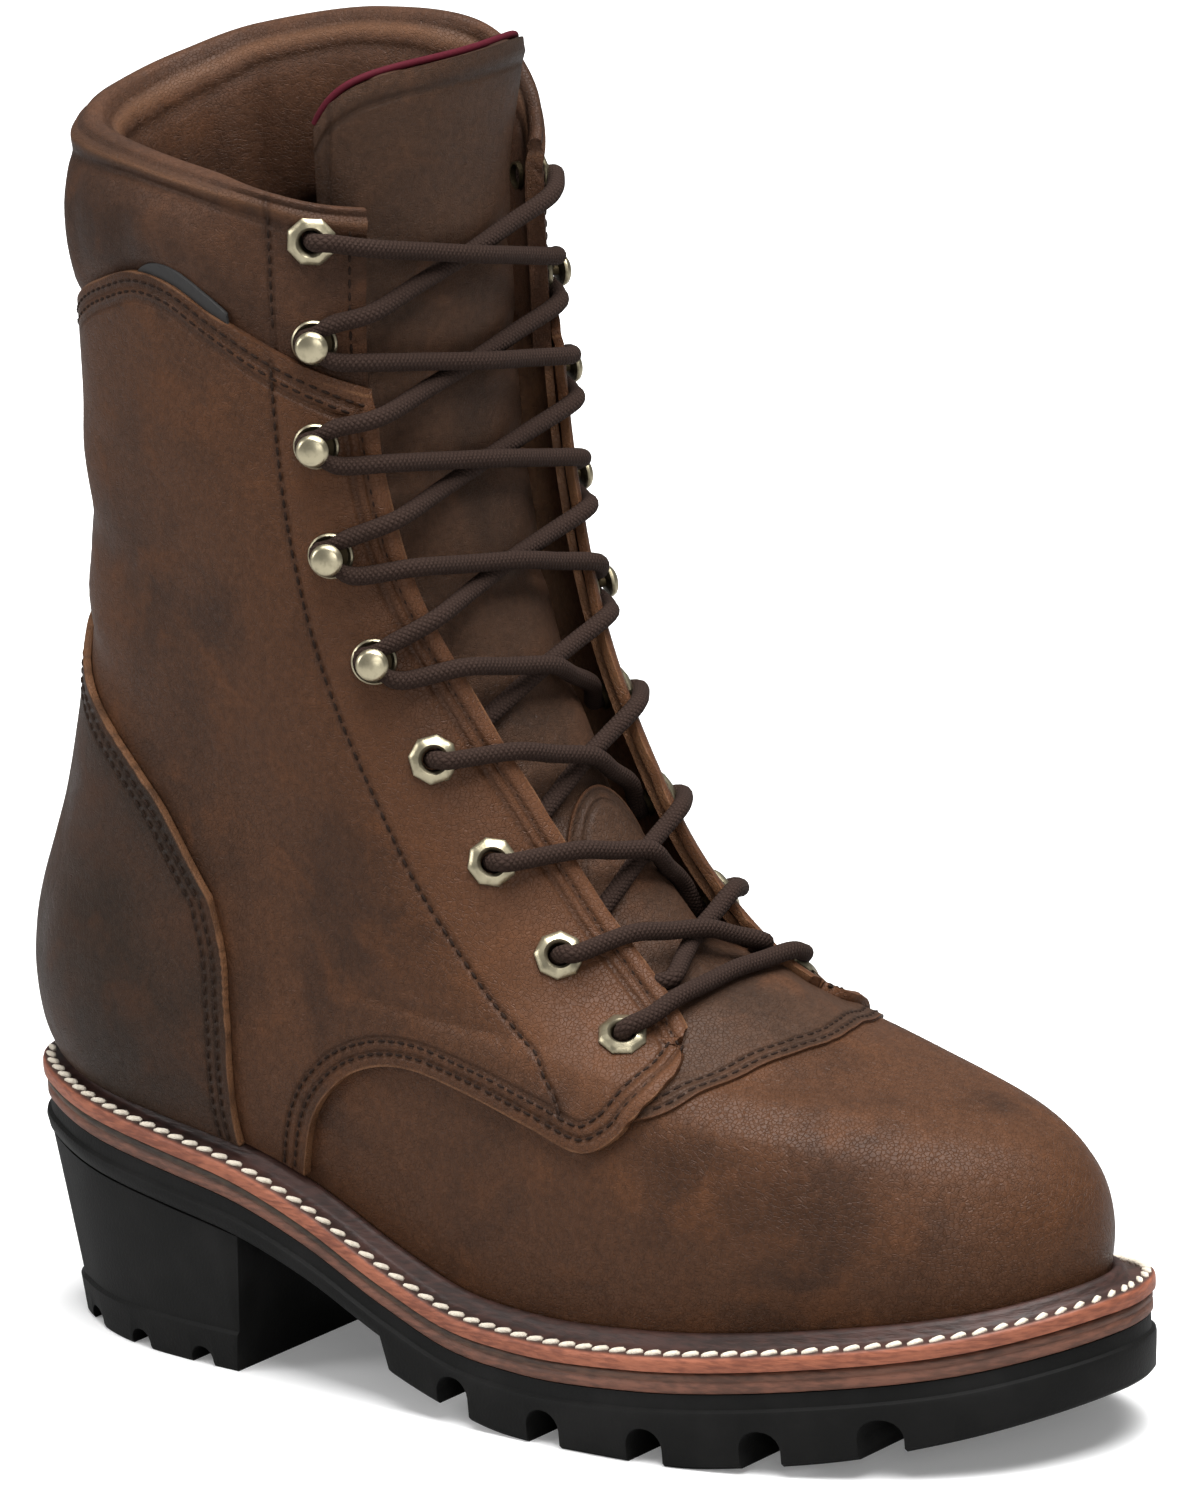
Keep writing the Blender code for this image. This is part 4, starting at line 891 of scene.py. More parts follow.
fine = np.linspace(0, len(COLLAR_SECTION) - 1, 3 * len(COLLAR_SECTION) - 2)
height, flat, padded = curve_row(COLLAR_SECTION, fine).T
seam_edge = throat_edge(COLLAR_SEAM[0][1])
share = np.linspace(0, 1, COLLAR_STATIONS)[:, None]
middle = seam_edge + share * (ROUND - 2 * seam_edge)
seam = read(COLLAR_SEAM, mirrored(middle))
rise = np.where(height < 0, COLLAR_LAP, read(COLLAR_RIM, middle) - seam)
rows = seam + rise * height
edge = throat_edge(rows)
padding = smooth((mirrored(middle) - PADDING_START) / (PADDING_FULL - PADDING_START))
pinch = sum(deep * np.exp(-(((middle - at) / wide) ** 2)) for at, wide, deep in PINCHES)
fullness = np.sin(np.pi * np.clip(height, 0, 1)) * padding
offset = (flat + (padded - flat) * padding) / 1000
outer_side = np.arange(len(height)) < len(height) * 0.55
offset = offset - np.where(outer_side, 1, -1) * pinch * fullness / 1000
around = edge + share * (ROUND - 2 * edge)
points = place(around, rows, offset)
collar = drape(
    "collar_roll", points, wrapped=True, edge_mm=9 + 0 * rows,
    fold_mm=np.min([np.abs(height - seam) for seam in FOLD_SEAMS], 0) * MM_PER_STEP + 0 * rows,
    stay_mm=np.abs(around - read(STAY_LINE, rows)) * MM_PER_STEP + 9 * (np.abs(middle - 1.8) > 0.8),
    lit_share=0.5 * np.clip(1 - np.abs(height - FOLD_RIDGE) / 0.045, 0, 1) + 0 * rows,
)
collar.data.materials.append(leather(
    "collar_leather", COLLAR_HIDE, 0.50, lines=("fold_mm", "stay_mm"), tint=("lit_share", COLLAR_LIT),
    pore_scale=1.2,
))
sew_in(collar, "leather_collar", "collar")
facing_rows = np.linspace(12.0, 13.05, 30)
facing_seams = (
    np.stack([read(STAY_LINE, facing_rows), facing_rows], 1),
    np.stack([throat_edge(facing_rows - 0.6) + 0.12, facing_rows - 0.25], 1),
)
stitches(
    "facing_stitches",
    [other_side(route, medial) for route in facing_seams for medial in (False, True)], 0.0,
)


# The black strip: a thin tape of rubberised cloth let into the seam between collar and outer quarter.
TAPE_BLACK = (0.012, 0.011, 0.011)
TAPE_LIT = (0.03, 0.028, 0.027)
turns = np.linspace(2.22, 3.10, 40)
strip_seam = read(COLLAR_SEAM, turns)
wide = 0.20 * np.sin(np.pi * np.clip((3.12 - turns) / 1.1, 0, 1)) ** 0.7
rows = strip_seam - 0.04 + (wide + 0.02) * np.linspace(0, 1, 8)[:, None]
collar_padding = smooth((turns - PADDING_START) / (PADDING_FULL - PADDING_START))
points = place(turns + 0 * rows, rows, 0.0007 + 0.0016 * collar_padding * (rows - strip_seam) / 0.2)
black_strip = drape("seam_strip", points)
tape, tree, shader = new_material("black_tape", 0.7)
paint(tree, blended(tree, noise(tree, 900.0), TAPE_BLACK, TAPE_LIT))
black_strip.data.materials.append(tape)
thicken(black_strip, 0.0010, 1, rounding=0.0002)
sew_in(black_strip, "leather_dark")


# The tongue: two layers of soft hide with foam between, closed at the sides, sewn under the vamp.
# Its top edge is bound with a burgundy cord.
TONGUE_THICKNESS = 0.0060
TONGUE_SINK = 0.0075
TONGUE_SEAT = 0.0007
TONGUE_PUFF = 0.0018
# Half width: row, round
TONGUE_WIDTH = [
    (4.6, 1.42), (5.4, 1.38), (6.2, 1.20), (7.2, 1.08), (8.6, 1.14), (10.0, 1.28), (12.0, 1.38),
    (14.0, 1.36),
]
TONGUE_START = 4.75
TONGUE_TOP = 13.92
TONGUE_CORNER = 0.40
TONGUE_DIP_START = 5.0
TONGUE_DIP_ROWS = 1.0
TONGUE_RISE_START = 12.7
TONGUE_HIDE = ((0.060, 0.0310, 0.0185), (0.035, 0.0195, 0.0125), (0.084, 0.0400, 0.0220))
# Share of the half width where the layers are sewn together
TONGUE_SEAM = 0.86
# Where a crossing of the lace presses the tongue in: row
PRESSED_ROWS = (6.0, 6.95, 7.85, 8.7, 9.6, 10.55, 11.45, 12.3)
PRESSED_DEPTH = 0.0017


def tongue_skin(across, row):
    """Outer face of the tongue: offset from the skin, deeper towards its sides."""
    foot = LEATHER + TONGUE_SEAT
    sink = foot + (TONGUE_SINK - foot) * smooth((row - TONGUE_DIP_START) / TONGUE_DIP_ROWS)
    rise = 0.6 * TONGUE_SINK * smooth((row - TONGUE_RISE_START) / (TONGUE_TOP - TONGUE_RISE_START))
    puff = TONGUE_PUFF * (1 - across**2) * smooth((row - 6.2) / 0.8)
    return rise + puff - sink - 0.6 * TONGUE_SINK * across**2


def tongue_place(across, row, lift):
    """Points on the tongue, from one side at -1 to the other at 1."""
    return place(across * read(TONGUE_WIDTH, row), row, tongue_skin(across, row) + lift)


across = np.concatenate([np.linspace(-1, 1, 41), np.linspace(1, -1, 41)])
inner = np.arange(82) >= 41
steps = np.linspace(0, 1, 190)[:, None]
top = TONGUE_TOP - TONGUE_CORNER * across**4
row = TONGUE_START + (top - TONGUE_START) * steps
body = TONGUE_THICKNESS * (1 - 0.55 * across**2) * (1 - 0.5 * smooth((steps - 0.9) / 0.1))
dents = sum(np.exp(-(((row - pressed) / 0.16) ** 2)) for pressed in PRESSED_ROWS)
puff = 0.0009 * (1 - across**2) - PRESSED_DEPTH * dents * (1 - 0.6 * across**2) * (row < 12.6)
binding = 0.0006 * np.exp(-(((top - row) - 0.10) / 0.05) ** 2)
side_seam = -0.0007 * np.exp(-(((np.abs(across) - TONGUE_SEAM) / 0.04) ** 2))
points = tongue_place(across, row, np.where(inner, -body, puff + binding + side_seam))
tongue = drape(
    "tongue_pad", points, wrapped=True, edge_mm=9 + 0 * row,
    side_mm=np.abs(np.abs(across) - TONGUE_SEAM) * 30 + 0 * row,
    top_mm=np.abs(top - row - 0.19) * MM_PER_STEP,
)
tongue.data.materials.append(
    leather("tongue_leather", TONGUE_HIDE, 0.50, lines=("side_mm", "top_mm"), pore_scale=1.3)
)
sew_in(tongue, "leather_dark", "tongue")


# The tongue's base: a plain piece of hide sewn over the vamp's edge in two rows, running up under
# the eyestays to the middle of the tongue.
BASE_LEATHER = 0.0008
BASE_TOP = 7.95
BASE_FOOT_HALF = 1.95
BASE_SEAT = 0.00005
BASE_ROWS = (0.0018, 0.0042)
# Its edge on the vamp: round, row. Its half width up the tongue: row, round
BASE_EDGE = [(0.00, 5.45), (0.44, 5.40), (1.04, 5.04), (1.54, 4.26), (1.88, 3.46), (1.98, 3.30)]
BASE_WIDTH = [(3.0, 1.95), (5.2, 1.35), (6.0, 1.05), (7.0, 0.90), (8.0, 0.86)]


def base_seat(turn, row):
    """Inner face of the tongue's base: on the vamp at its foot, then sinking to the tongue."""
    dip = smooth((row - VAMP_EDGE_ROW - 0.15) / 0.9)
    across = np.clip(turn / read(TONGUE_WIDTH, np.clip(row, 4.6, 14)), -1, 1)
    return BASE_SEAT * (1 - dip) + (tongue_skin(across, row) + 0.0011) * dip


across = np.linspace(-1, 1, 97)
foot = read(BASE_EDGE, BASE_FOOT_HALF * np.abs(across))
top = BASE_TOP - 0.9 * across**2
row = foot + (top - foot) * np.linspace(0, 1, 70)[:, None] ** 1.2
narrow = smooth((row - foot) / 1.6)
turn = across * (BASE_FOOT_HALF * (1 - narrow) + read(BASE_WIDTH, row) * narrow)
points = place(turn, row, base_seat(turn, row))
tongue_base = drape(
    "tongue_base_piece", points, edge_mm=distance_to(points, np.vstack([points[0], points[-1]])),
)
tongue_base.data.materials.append(leather(
    "base_leather", (*TONGUE_HIDE[:2], COLLAR_HIDE[2]), 0.50, edge=OILED_HIDE[0],
    rows=[1000 * row for row in BASE_ROWS],
))
thicken(tongue_base, BASE_LEATHER, 1, rounding=0, even=False)
sew_in(tongue_base, "leather_dark", "tongue_base")
base_turns = np.linspace(-1.85, 1.85, 160)
base_route = np.stack([base_turns, read(BASE_EDGE, np.abs(base_turns))], 1)
stitches(
    "base_stitches", [inset(evened(base_route), distance) for distance in BASE_ROWS],
    BASE_SEAT + BASE_LEATHER,
)


def tube(name, points, radius, sides=12):
    """A round cord along points, its ends closed, that carries how far along and round it a place is."""
    ahead = unit(np.gradient(points, axis=0))
    side = np.zeros_like(ahead)
    side[0] = np.cross(ahead[0], (0.0, 0.3, 1.0))
    for k in range(1, len(points)):
        side[k] = unit(side[k - 1] - ahead[k] * (side[k - 1] @ ahead[k]))
    side[0] = unit(side[0])
    up = np.cross(side, ahead)
    angle = np.linspace(0, 2 * np.pi, sides, endpoint=False)
    rings = points[:, None] + np.broadcast_to(radius, len(points))[:, None, None] * (
        np.cos(angle)[None, :, None] * side[:, None] + np.sin(angle)[None, :, None] * up[:, None]
    )
    run = run_along(points)[:, None]
    return drape(
        name, rings, wrapped=True, along_mm=1000 * run + 0 * angle,
        round_cos=np.cos(angle) + 0 * run, round_sin=np.sin(angle) + 0 * run,
    )


def rounded(points, spacing):
    """Points of a smooth line through given points, evenly spaced."""
    points = np.asarray(points, float)
    fine = curve_row(points, np.linspace(0, len(points) - 1, 40 * len(points)))
    run = run_along(fine)
    marks = np.linspace(0, run[-1], int(run[-1] / spacing) + 2)
    return np.stack([np.interp(marks, run, fine[:, k]) for k in range(3)], 1)


PIPING_RADIUS = 0.0009
BURGUNDY = (0.045, 0.003, 0.008)
BURGUNDY_LIT = (0.085, 0.008, 0.016)
across = np.linspace(-0.98, 0.98, 40)
row = TONGUE_TOP - TONGUE_CORNER * across**4
edge = tongue_place(across, row, -0.25 * TONGUE_THICKNESS)
edge[:, 2] += 0.0004
piping = tube("tongue_binding", rounded(edge, 0.0012), PIPING_RADIUS)
burgundy, tree, shader = new_material("burgundy_cord", 0.75, 0.12)
paint(tree, blended(tree, noise(tree, 1500.0), BURGUNDY, BURGUNDY_LIT))
piping.data.materials.append(burgundy)
sew_in(piping, "piping", "tongue_piping")


# The eyelets and hooks: pressed brass, antiqued and rubbed bright again. The eyelets are
# eight-sided washers on a barrel, and the hooks are flat-topped studs in a raised ring.
EYELET_RADIUS = 0.0058
EYELET_HOLE = 0.0027
EYELET_DEPTH = 0.0058
PUNCH_RADIUS = EYELET_HOLE + 0.0004
PUNCH_LENGTH = 0.022
HOOK_RING = 0.0054
HOOK_KNOB = 0.0039
HOOK_NECK = 0.0012
HOOK_HEIGHT = 0.0072
BRASS = (0.560, 0.500, 0.345)
BRASS_DARK = (0.060, 0.045, 0.025)
# Stations from the top down: row, round, kind
LACING = [
    (12.74, 1.42, "eyelet"), (11.90, 1.46, "hook"), (11.02, 1.52, "hook"), (10.06, 1.56, "hook"),
    (9.12, 1.46, "hook"), (8.26, 1.34, "eyelet"), (7.40, 1.32, "eyelet"), (6.52, 1.34, "eyelet"),
    (5.42, 1.50, "eyelet"),
]
# Profiles: radius, height, patina
EYELET_PROFILE = [
    (EYELET_HOLE, -EYELET_DEPTH, 1.0), (EYELET_HOLE, 0.0008, 1.0),
    (EYELET_HOLE + 0.0003, 0.0014, 0.5), (EYELET_HOLE + 0.0009, 0.0018, 0.0),
    (EYELET_RADIUS - 0.0012, 0.0014, 0.1), (EYELET_RADIUS - 0.0003, 0.0009, 0.2),
    (EYELET_RADIUS, 0.0003, 0.6), (EYELET_RADIUS - 0.0002, -0.0002, 1.0),
    (EYELET_HOLE + 0.0006, -0.0003, 1.0), (EYELET_HOLE + 0.0006, -EYELET_DEPTH, 1.0),
]
HOOK_PROFILE = [
    (0.0003, HOOK_HEIGHT, 0.0), (HOOK_KNOB * 0.72, HOOK_HEIGHT - 0.0001, 0.0),
    (HOOK_KNOB * 0.9, HOOK_HEIGHT - 0.0006, 0.1), (HOOK_KNOB, HOOK_HEIGHT - 0.0014, 0.3),
    (HOOK_KNOB * 0.97, HOOK_HEIGHT - 0.0021, 0.8), (HOOK_NECK, HOOK_HEIGHT - 0.0026, 1.0),
    (HOOK_NECK, 0.0008, 1.0), (HOOK_RING - 0.0012, 0.0005, 1.0), (HOOK_RING - 0.0009, 0.0010, 0.3),
    (HOOK_RING - 0.0004, 0.0013, 0.0), (HOOK_RING, 0.0009, 0.2), (HOOK_RING, -0.0002, 0.9),
    (0.0003, -0.0003, 1.0),
]


def pressed(name, profile, corners, closed, sides=32):
    """A turned pressing: a circle pulled out ring by ring along a profile of radius, height, patina.

    corners squares its outer edge off to that many flats, and closed joins the last ring to the first.
    """
    bpy.ops.object.select_all(action="DESELECT")
    bpy.ops.mesh.primitive_circle_add(vertices=sides, radius=profile[0][0], location=(0, 0, profile[0][1]))
    piece = bpy.context.object
    bpy.ops.object.transform_apply(location=True)
    piece.name = name
    bpy.ops.object.mode_set(mode="EDIT")
    bpy.ops.mesh.select_all(action="SELECT")
    for one, two in zip(profile, profile[1:]):
        size = two[0] / one[0]
        bpy.ops.mesh.extrude_edges_move(TRANSFORM_OT_translate={"value": (0, 0, two[1] - one[1])})
        bpy.ops.transform.resize(value=(size, size, 1.0), center_override=(0, 0, two[1]))
    bpy.ops.mesh.select_all(action="DESELECT")
    bpy.ops.mesh.select_non_manifold()
    if closed:
        bpy.ops.mesh.bridge_edge_loops()
    else:
        bpy.ops.mesh.edge_face_add()
    bpy.ops.mesh.select_all(action="SELECT")
    bpy.ops.mesh.normals_make_consistent(inside=False)
    bpy.ops.object.mode_set(mode="OBJECT")
    patina = piece.data.attributes.new("patina", "FLOAT", "POINT")
    widest = max(ring[0] for ring in profile)
    for index, vertex in enumerate(piece.data.vertices):
        radius, level, worn = profile[min(index // sides, len(profile) - 1)]
        patina.data[index].value = worn
        if corners and radius > 0.7 * widest:
            angle = math.atan2(vertex.co.y, vertex.co.x)
            part = 2 * math.pi / corners
            flat_cut = math.cos(part / 2) / math.cos(angle % part - part / 2)
            vertex.co.x *= flat_cut * 1.04
            vertex.co.y *= flat_cut * 1.04
    return piece


brass, tree, shader = new_material("antique_brass", 0.5)
scuffs = noise(tree, 700.0, 4.0)
rubbed = maths(tree, "MULTIPLY", stretch(tree, scuffs, 0.45, 0.75), 0.25)
tarnish = maths(tree, "ADD", own(tree, "patina"), rubbed, True)
paint(tree, blended(tree, tarnish, BRASS, BRASS_DARK), scuffs, 0.3, 0.0001)
spread = new_node(tree, "ShaderNodeMapRange", {0: tarnish, 3: 0.30, 4: 0.62})
tree.links.new(spread.outputs[0], shader.inputs["Roughness"])
shader.inputs["Metallic"].default_value = 1.0


def on_skin(turn, row, offset):
    """Matrix that stands a part on the leather, its axis along the normal."""
    normal = Vector(outward(turn, row))
    up = Vector(skin(turn, row + 0.05) - skin(turn, row)).normalized()
    side = up.cross(normal).normalized()
    turned = Matrix((side, normal.cross(side), normal)).transposed().to_4x4()
    return Matrix.Translation(Vector(place(turn, row, offset))) @ turned


def face_offset(row):
    """Offset of the leather face that carries the metal: the quarter's, or the bare facing's above it."""
    return SEAT + OVERLAY if row < 11.5 else 0.0


models = {
    "eyelet": pressed("eyelet", EYELET_PROFILE, 8, True),
    "hook": pressed("hook", HOOK_PROFILE, 0, False),
}
for number, (row, turn, kind) in enumerate(LACING, 1):
    for side, where_round in (("lateral", turn), ("medial", ROUND - turn)):
        piece = models[kind].copy()
        piece.data = models[kind].data.copy()
        piece.name = f"{kind}_{side}_{number}_brass"
        bpy.context.scene.collection.objects.link(piece)
        spin = Matrix.Rotation(math.radians(17 * number), 4, "Z")
        piece.data.transform(on_skin(where_round, row, face_offset(row) + 0.0001) @ spin)
        piece.data.materials.append(brass)
        sew_in(piece, "brass", f"{kind}_{side}_{number}", smooth_angle=35)
for model in models.values():
    bpy.data.objects.remove(model)

def punch_out(panels, punches):
    """Cuts every punch's shape out of each panel."""
    pick(*punches)
    bpy.ops.object.join()
    for panel in panels:
        modify(panel, "BOOLEAN", operation="DIFFERENCE", object=punches[0], solver="EXACT")
    bpy.data.objects.remove(punches[0])


# The holes that the barrels go through, cut from every layer that they pass
punches = []
for row, turn, kind in LACING:
    for where_round in (turn, ROUND - turn):
        if kind == "eyelet":
            bpy.ops.object.select_all(action="DESELECT")
            bpy.ops.mesh.primitive_cylinder_add(vertices=16, radius=PUNCH_RADIUS, depth=PUNCH_LENGTH)
            punch = bpy.context.object
            punch.data.transform(on_skin(where_round, row, 0.0))
            punches.append(punch)
punched = ("vamp", "quarter_lateral_panel", "quarter_medial_panel", "collar_roll")
punch_out([bpy.data.objects[panel] for panel in punched], punches)


# The lace: a round braided cord, 4.4 mm thick. A bar joins the lowest eyelets, both ends cross
# upward through the eyelets and round the hooks, and stop inside the top eyelets.
LACE_RADIUS = 0.0022
LACE_BROWN = (0.022, 0.0120, 0.0090)
LACE_LIT = (0.048, 0.0290, 0.0220)
# Offset from the skin of the cord under the eyestay, and height over the tongue of the strands that
# pass under and over at a crossing
UNDER = -0.0046
LOW_PASS = 0.0022
HIGH_PASS = LOW_PASS + 0.0040
OVER_EDGE = SEAT + OVERLAY + LACE_RADIUS
PAST_EDGE = 0.03
# How much a hook's neck narrows the cord, over what length, and how far off its middle that lies
SQUEEZE = 0.28
SQUEEZE_REACH = 0.0050
NECK_ROWS = 0.13
NECK_REACH = HOOK_NECK + LACE_RADIUS * (1 - SQUEEZE)
LACE_SPACING = 0.0011
BRAID_PITCH = 2.6


def millimetres(turn, row, right, up):
    """A place moved away from the throat and up by millimetres."""
    round_way, up_way = local_scale(turn, row)
    return turn + right / 1000 / np.linalg.norm(round_way), row + up / 1000 / np.linalg.norm(up_way)


def at_side(side, turn, row, offset):
    """A point on the outer side where side is 1, or the same on the inner side where it is -1."""
    return place(side * turn, row, offset)


def into_eyelet(side, number, come_out):
    """The lace goes over the eyestay's edge into an eyelet and comes out again under the edge."""
    row, turn, _ = LACING[number - 1]
    face = face_offset(row)
    points = [
        at_side(side, *millimetres(turn, row, -4.0, -0.2), face + LACE_RADIUS + 0.0012),
        at_side(side, *millimetres(turn, row, -1.5, -0.1), face + LACE_RADIUS + 0.0004),
        at_side(side, turn, row, face - 0.0006),
        at_side(side, turn, row, -0.0034),
    ]
    if come_out:
        points.append(at_side(side, turn - 0.12, row + 0.04, UNDER - 0.0012))
    return points


def round_hook(side, number):
    """The lace comes in below a hook's neck, goes round its outer side and leaves above it."""
    row, turn, _ = LACING[number - 1]
    lift = face_offset(row) + LACE_RADIUS + 0.0003
    reach = 1000 * NECK_REACH
    part = 0.72 * reach
    bend = [
        (-5.0, -4.6), (-0.8, -reach), (part, -part), (reach, 0.0), (part, part), (-0.8, reach), (-5.0, 4.6),
    ]
    return [at_side(side, *millimetres(turn, row, right, up), lift) for right, up in bend]


def taut_row(line, one, two):
    """Row where a strand pulled tight between two points passes a line up the boot."""
    rows = np.linspace(5.4, 13.0, 600)
    points = place(line(rows), rows)
    return rows[np.argmin(np.linalg.norm(points - one, axis=1) + np.linalg.norm(points - two, axis=1))]


def ridge(rows):
    """The line up the middle of the boot's front."""
    return 0 * rows


def on_ridge(row, lift):
    """A point at a height over the tongue's middle, or over its base."""
    face = base_seat(0.0, row) + BASE_LEATHER if row < BASE_TOP else tongue_skin(0.0, row)
    return place(0.0, row, face + lift)


def lip(side, row, turn, crossing):
    """Row where the strand from an eyelet or hook to the ridge passes the eyestay's edge."""
    start = at_side(side, turn, row, 0.0)
    return taut_row(lambda rows: side * throat_edge(rows), start, place(0.0, crossing))


def over_tongue(side, start, end, is_over):
    """The lace's crossing between two stations, over or under the other strand."""
    from_row, from_turn, from_kind = LACING[start - 1]
    to_row, to_turn, to_kind = LACING[end - 1]
    if from_kind == "hook":
        from_row += NECK_ROWS
    if to_kind == "hook":
        to_row -= NECK_ROWS
    ends = (at_side(side, from_turn, from_row, 0.0), at_side(-side, to_turn, to_row, 0.0))
    crossing = taut_row(ridge, *ends)
    edge = lip(side, from_row, from_turn, crossing)
    if from_kind == "hook":
        begin = [at_side(side, throat_edge(edge) - PAST_EDGE, edge, face_offset(from_row) + 0.0019)]
    elif start == len(LACING):
        begin = [
            at_side(side, throat_edge(edge) + 0.06, edge, -0.0008),
            at_side(side, throat_edge(edge) - 0.15, edge + 0.08, BASE_LEATHER + 0.0016),
        ]
    else:
        begin = [at_side(side, throat_edge(edge) - 0.04, edge, UNDER + 0.0004)]
    edge = lip(-side, to_row, to_turn, crossing)
    finish = at_side(-side, throat_edge(edge) - PAST_EDGE, edge, face_offset(to_row) + 0.0019)
    middle = on_ridge(crossing, HIGH_PASS if is_over else LOW_PASS)
    return begin + [(begin[-1] + middle) / 2, middle, (middle + finish) / 2, finish]


route = []
for first_side in (1, -1):
    side = first_side
    points = into_eyelet(side, len(LACING), True)[2:]
    for number in range(len(LACING), 1, -1):
        is_over = (number % 2 == 0) == (first_side == 1)
        points += over_tongue(side, number, number - 1, is_over)
        side = -side
        if LACING[number - 2][2] == "hook":
            points += round_hook(side, number - 1)
        else:
            points += into_eyelet(side, number - 1, number > 2)
    points.append(points[-1] + (points[-1] - points[-2]) * 0.4)
    route.append(points)
row, turn, _ = LACING[-1]
crossing = taut_row(ridge, at_side(1, turn, row, 0.0), at_side(-1, turn, row, 0.0))
edge = lip(1, row, turn, crossing)
left, right = (
    [
        at_side(side, *millimetres(turn, row, -1.5, 0.8), OVER_EDGE + 0.0004),
        at_side(
            side, turn + 0.45 * (throat_edge(edge) - turn), row + 0.45 * (edge - row), OVER_EDGE + 0.0010
        ),
        at_side(side, throat_edge(edge) - PAST_EDGE, edge, OVER_EDGE),
    ]
    for side in (1, -1)
)
middle = on_ridge(crossing, LACE_RADIUS + 0.0004)
bar = left + [(left[-1] + middle) / 2, middle, (middle + right[-1]) / 2] + right[::-1]
lace_points = rounded(route[0][::-1] + bar + route[1], LACE_SPACING)
necks = np.array([
    at_side(side, turn, row, face_offset(row) + LACE_RADIUS)
    for row, turn, kind in LACING for side in (1, -1) if kind == "hook"
])
from_neck = np.linalg.norm(lace_points[:, None] - necks[None], axis=2).min(1)
squeezed = LACE_RADIUS * (1 - SQUEEZE * np.exp(-((from_neck / SQUEEZE_REACH) ** 4)))
lace = tube("lace_cord", lace_points, squeezed, sides=14)
lace_stuff, tree, shader = new_material("braided_lace", 0.85, 0.12)
angle = maths(tree, "ARCTAN2", own(tree, "round_sin"), own(tree, "round_cos"))
angle = maths(tree, "MULTIPLY", angle, 4.0)
phase = maths(tree, "MULTIPLY", own(tree, "along_mm"), 2 * math.pi / BRAID_PITCH)
one = maths(tree, "SINE", maths(tree, "ADD", phase, angle))
two = maths(tree, "SINE", maths(tree, "SUBTRACT", phase, angle))
braid = maths(tree, "ABSOLUTE", maths(tree, "MULTIPLY", one, two))
height = maths(tree, "ADD", braid, maths(tree, "MULTIPLY", noise(tree, 3000.0), 0.5))
lit = maths(tree, "MULTIPLY", height, 0.6, True)
paint(tree, blended(tree, lit, LACE_BROWN, LACE_LIT), height, 0.8, 0.0004)
lace.data.materials.append(lace_stuff)
sew_in(lace, "lace", "laces", smooth_angle=80)


# The welt: a strip of harness leather sewn round the upper's foot, with a raised bead against it.
# Its top is dyed dark, its cut edge is left terracotta, and white waxed thread locks it to the sole.
WELT_LEDGE = 0.0105
WELT_THICKNESS = 0.0038
# Colours of a cut edge: light and dark of its first dye, and of its second
WELT_COLOURS = (
    (0.062, 0.028, 0.022), (0.030, 0.016, 0.013), (0.360, 0.120, 0.065), (0.200, 0.062, 0.035),
)
SOLE_STATIONS = 288
# Section of the welt, out from the upper and up from its top face, in millimetres, and how much of
# the cut edge's terracotta shows
WELT_SECTION = [
    (10.45, -3.7, 1), (-6.0, -3.8, 0), (-6.0, -0.3, 0), (0.2, -0.2, 0), (0.3, 1.6, 0), (0.7, 3.0, 0),
    (1.6, 3.5, 0), (2.7, 3.3, 0), (3.5, 2.3, 0), (4.1, 0.9, 0), (5.0, 0.2, 0), (6.6, 0.0, 0),
    (9.3, 0.0, 0), (9.9, -0.15, 0.25), (10.3, -0.5, 1), (10.5, -1.2, 1), (10.55, -2.6, 1),
]


def sole_edge(turn, out):
    """Outline of a sole layer, level with the welt's top, at a distance outside the skin's foot."""
    edge = skin(turn, 0.0) + unit(outward(turn, 0.0) * (1.0, 1.0, 0.0)) * out
    edge[..., 2] = welt_height(edge[..., 1])
    return edge


def edge_leather(name, colours, roughness, attribute=None):
    """Cut and dyed edges of sole leather: fibrous, in two pairs of colours that an attribute shares."""
    made, tree, shader = new_material(name, roughness, 0.35)
    where = new_node(tree, "ShaderNodeTexCoord").outputs["Object"]
    fibres = new_node(tree, "ShaderNodeMapping", {"Vector": where, "Scale": (1.0, 1.0, 5.0)})
    grain = noise(tree, 240.0, 5.0, where=fibres.outputs[0])
    broad = noise(tree, 45.0, 3.0, where=where)
    mask = maths(tree, "ADD", maths(tree, "MULTIPLY", grain, 0.6), maths(tree, "MULTIPLY", broad, 0.4))
    mask = stretch(tree, mask, 0.38, 0.62)
    colour = blended(tree, mask, *colours[:2])
    if attribute:
        colour = blended(tree, own(tree, attribute), colour, blended(tree, mask, *colours[2:]))
    paint(tree, colour, grain, 0.7, 0.0004)
    return made


turns = np.arange(SOLE_STATIONS) * ROUND / SOLE_STATIONS
points = np.stack([sole_edge(turns, out / 1000) + (0, 0, up / 1000) for out, up, _ in WELT_SECTION], 1)
points = np.concatenate([points, points[:1]])
cut_share = np.tile([cut for _, _, cut in WELT_SECTION], (len(points), 1))
welt = drape("welt_strip", points, wrapped=True, cut_share=cut_share)
welt.data.materials.append(edge_leather("welt_leather_dyed", WELT_COLOURS, 0.5, "cut_share"))
sew_in(welt, "welt_leather", "welt", smooth_angle=60)

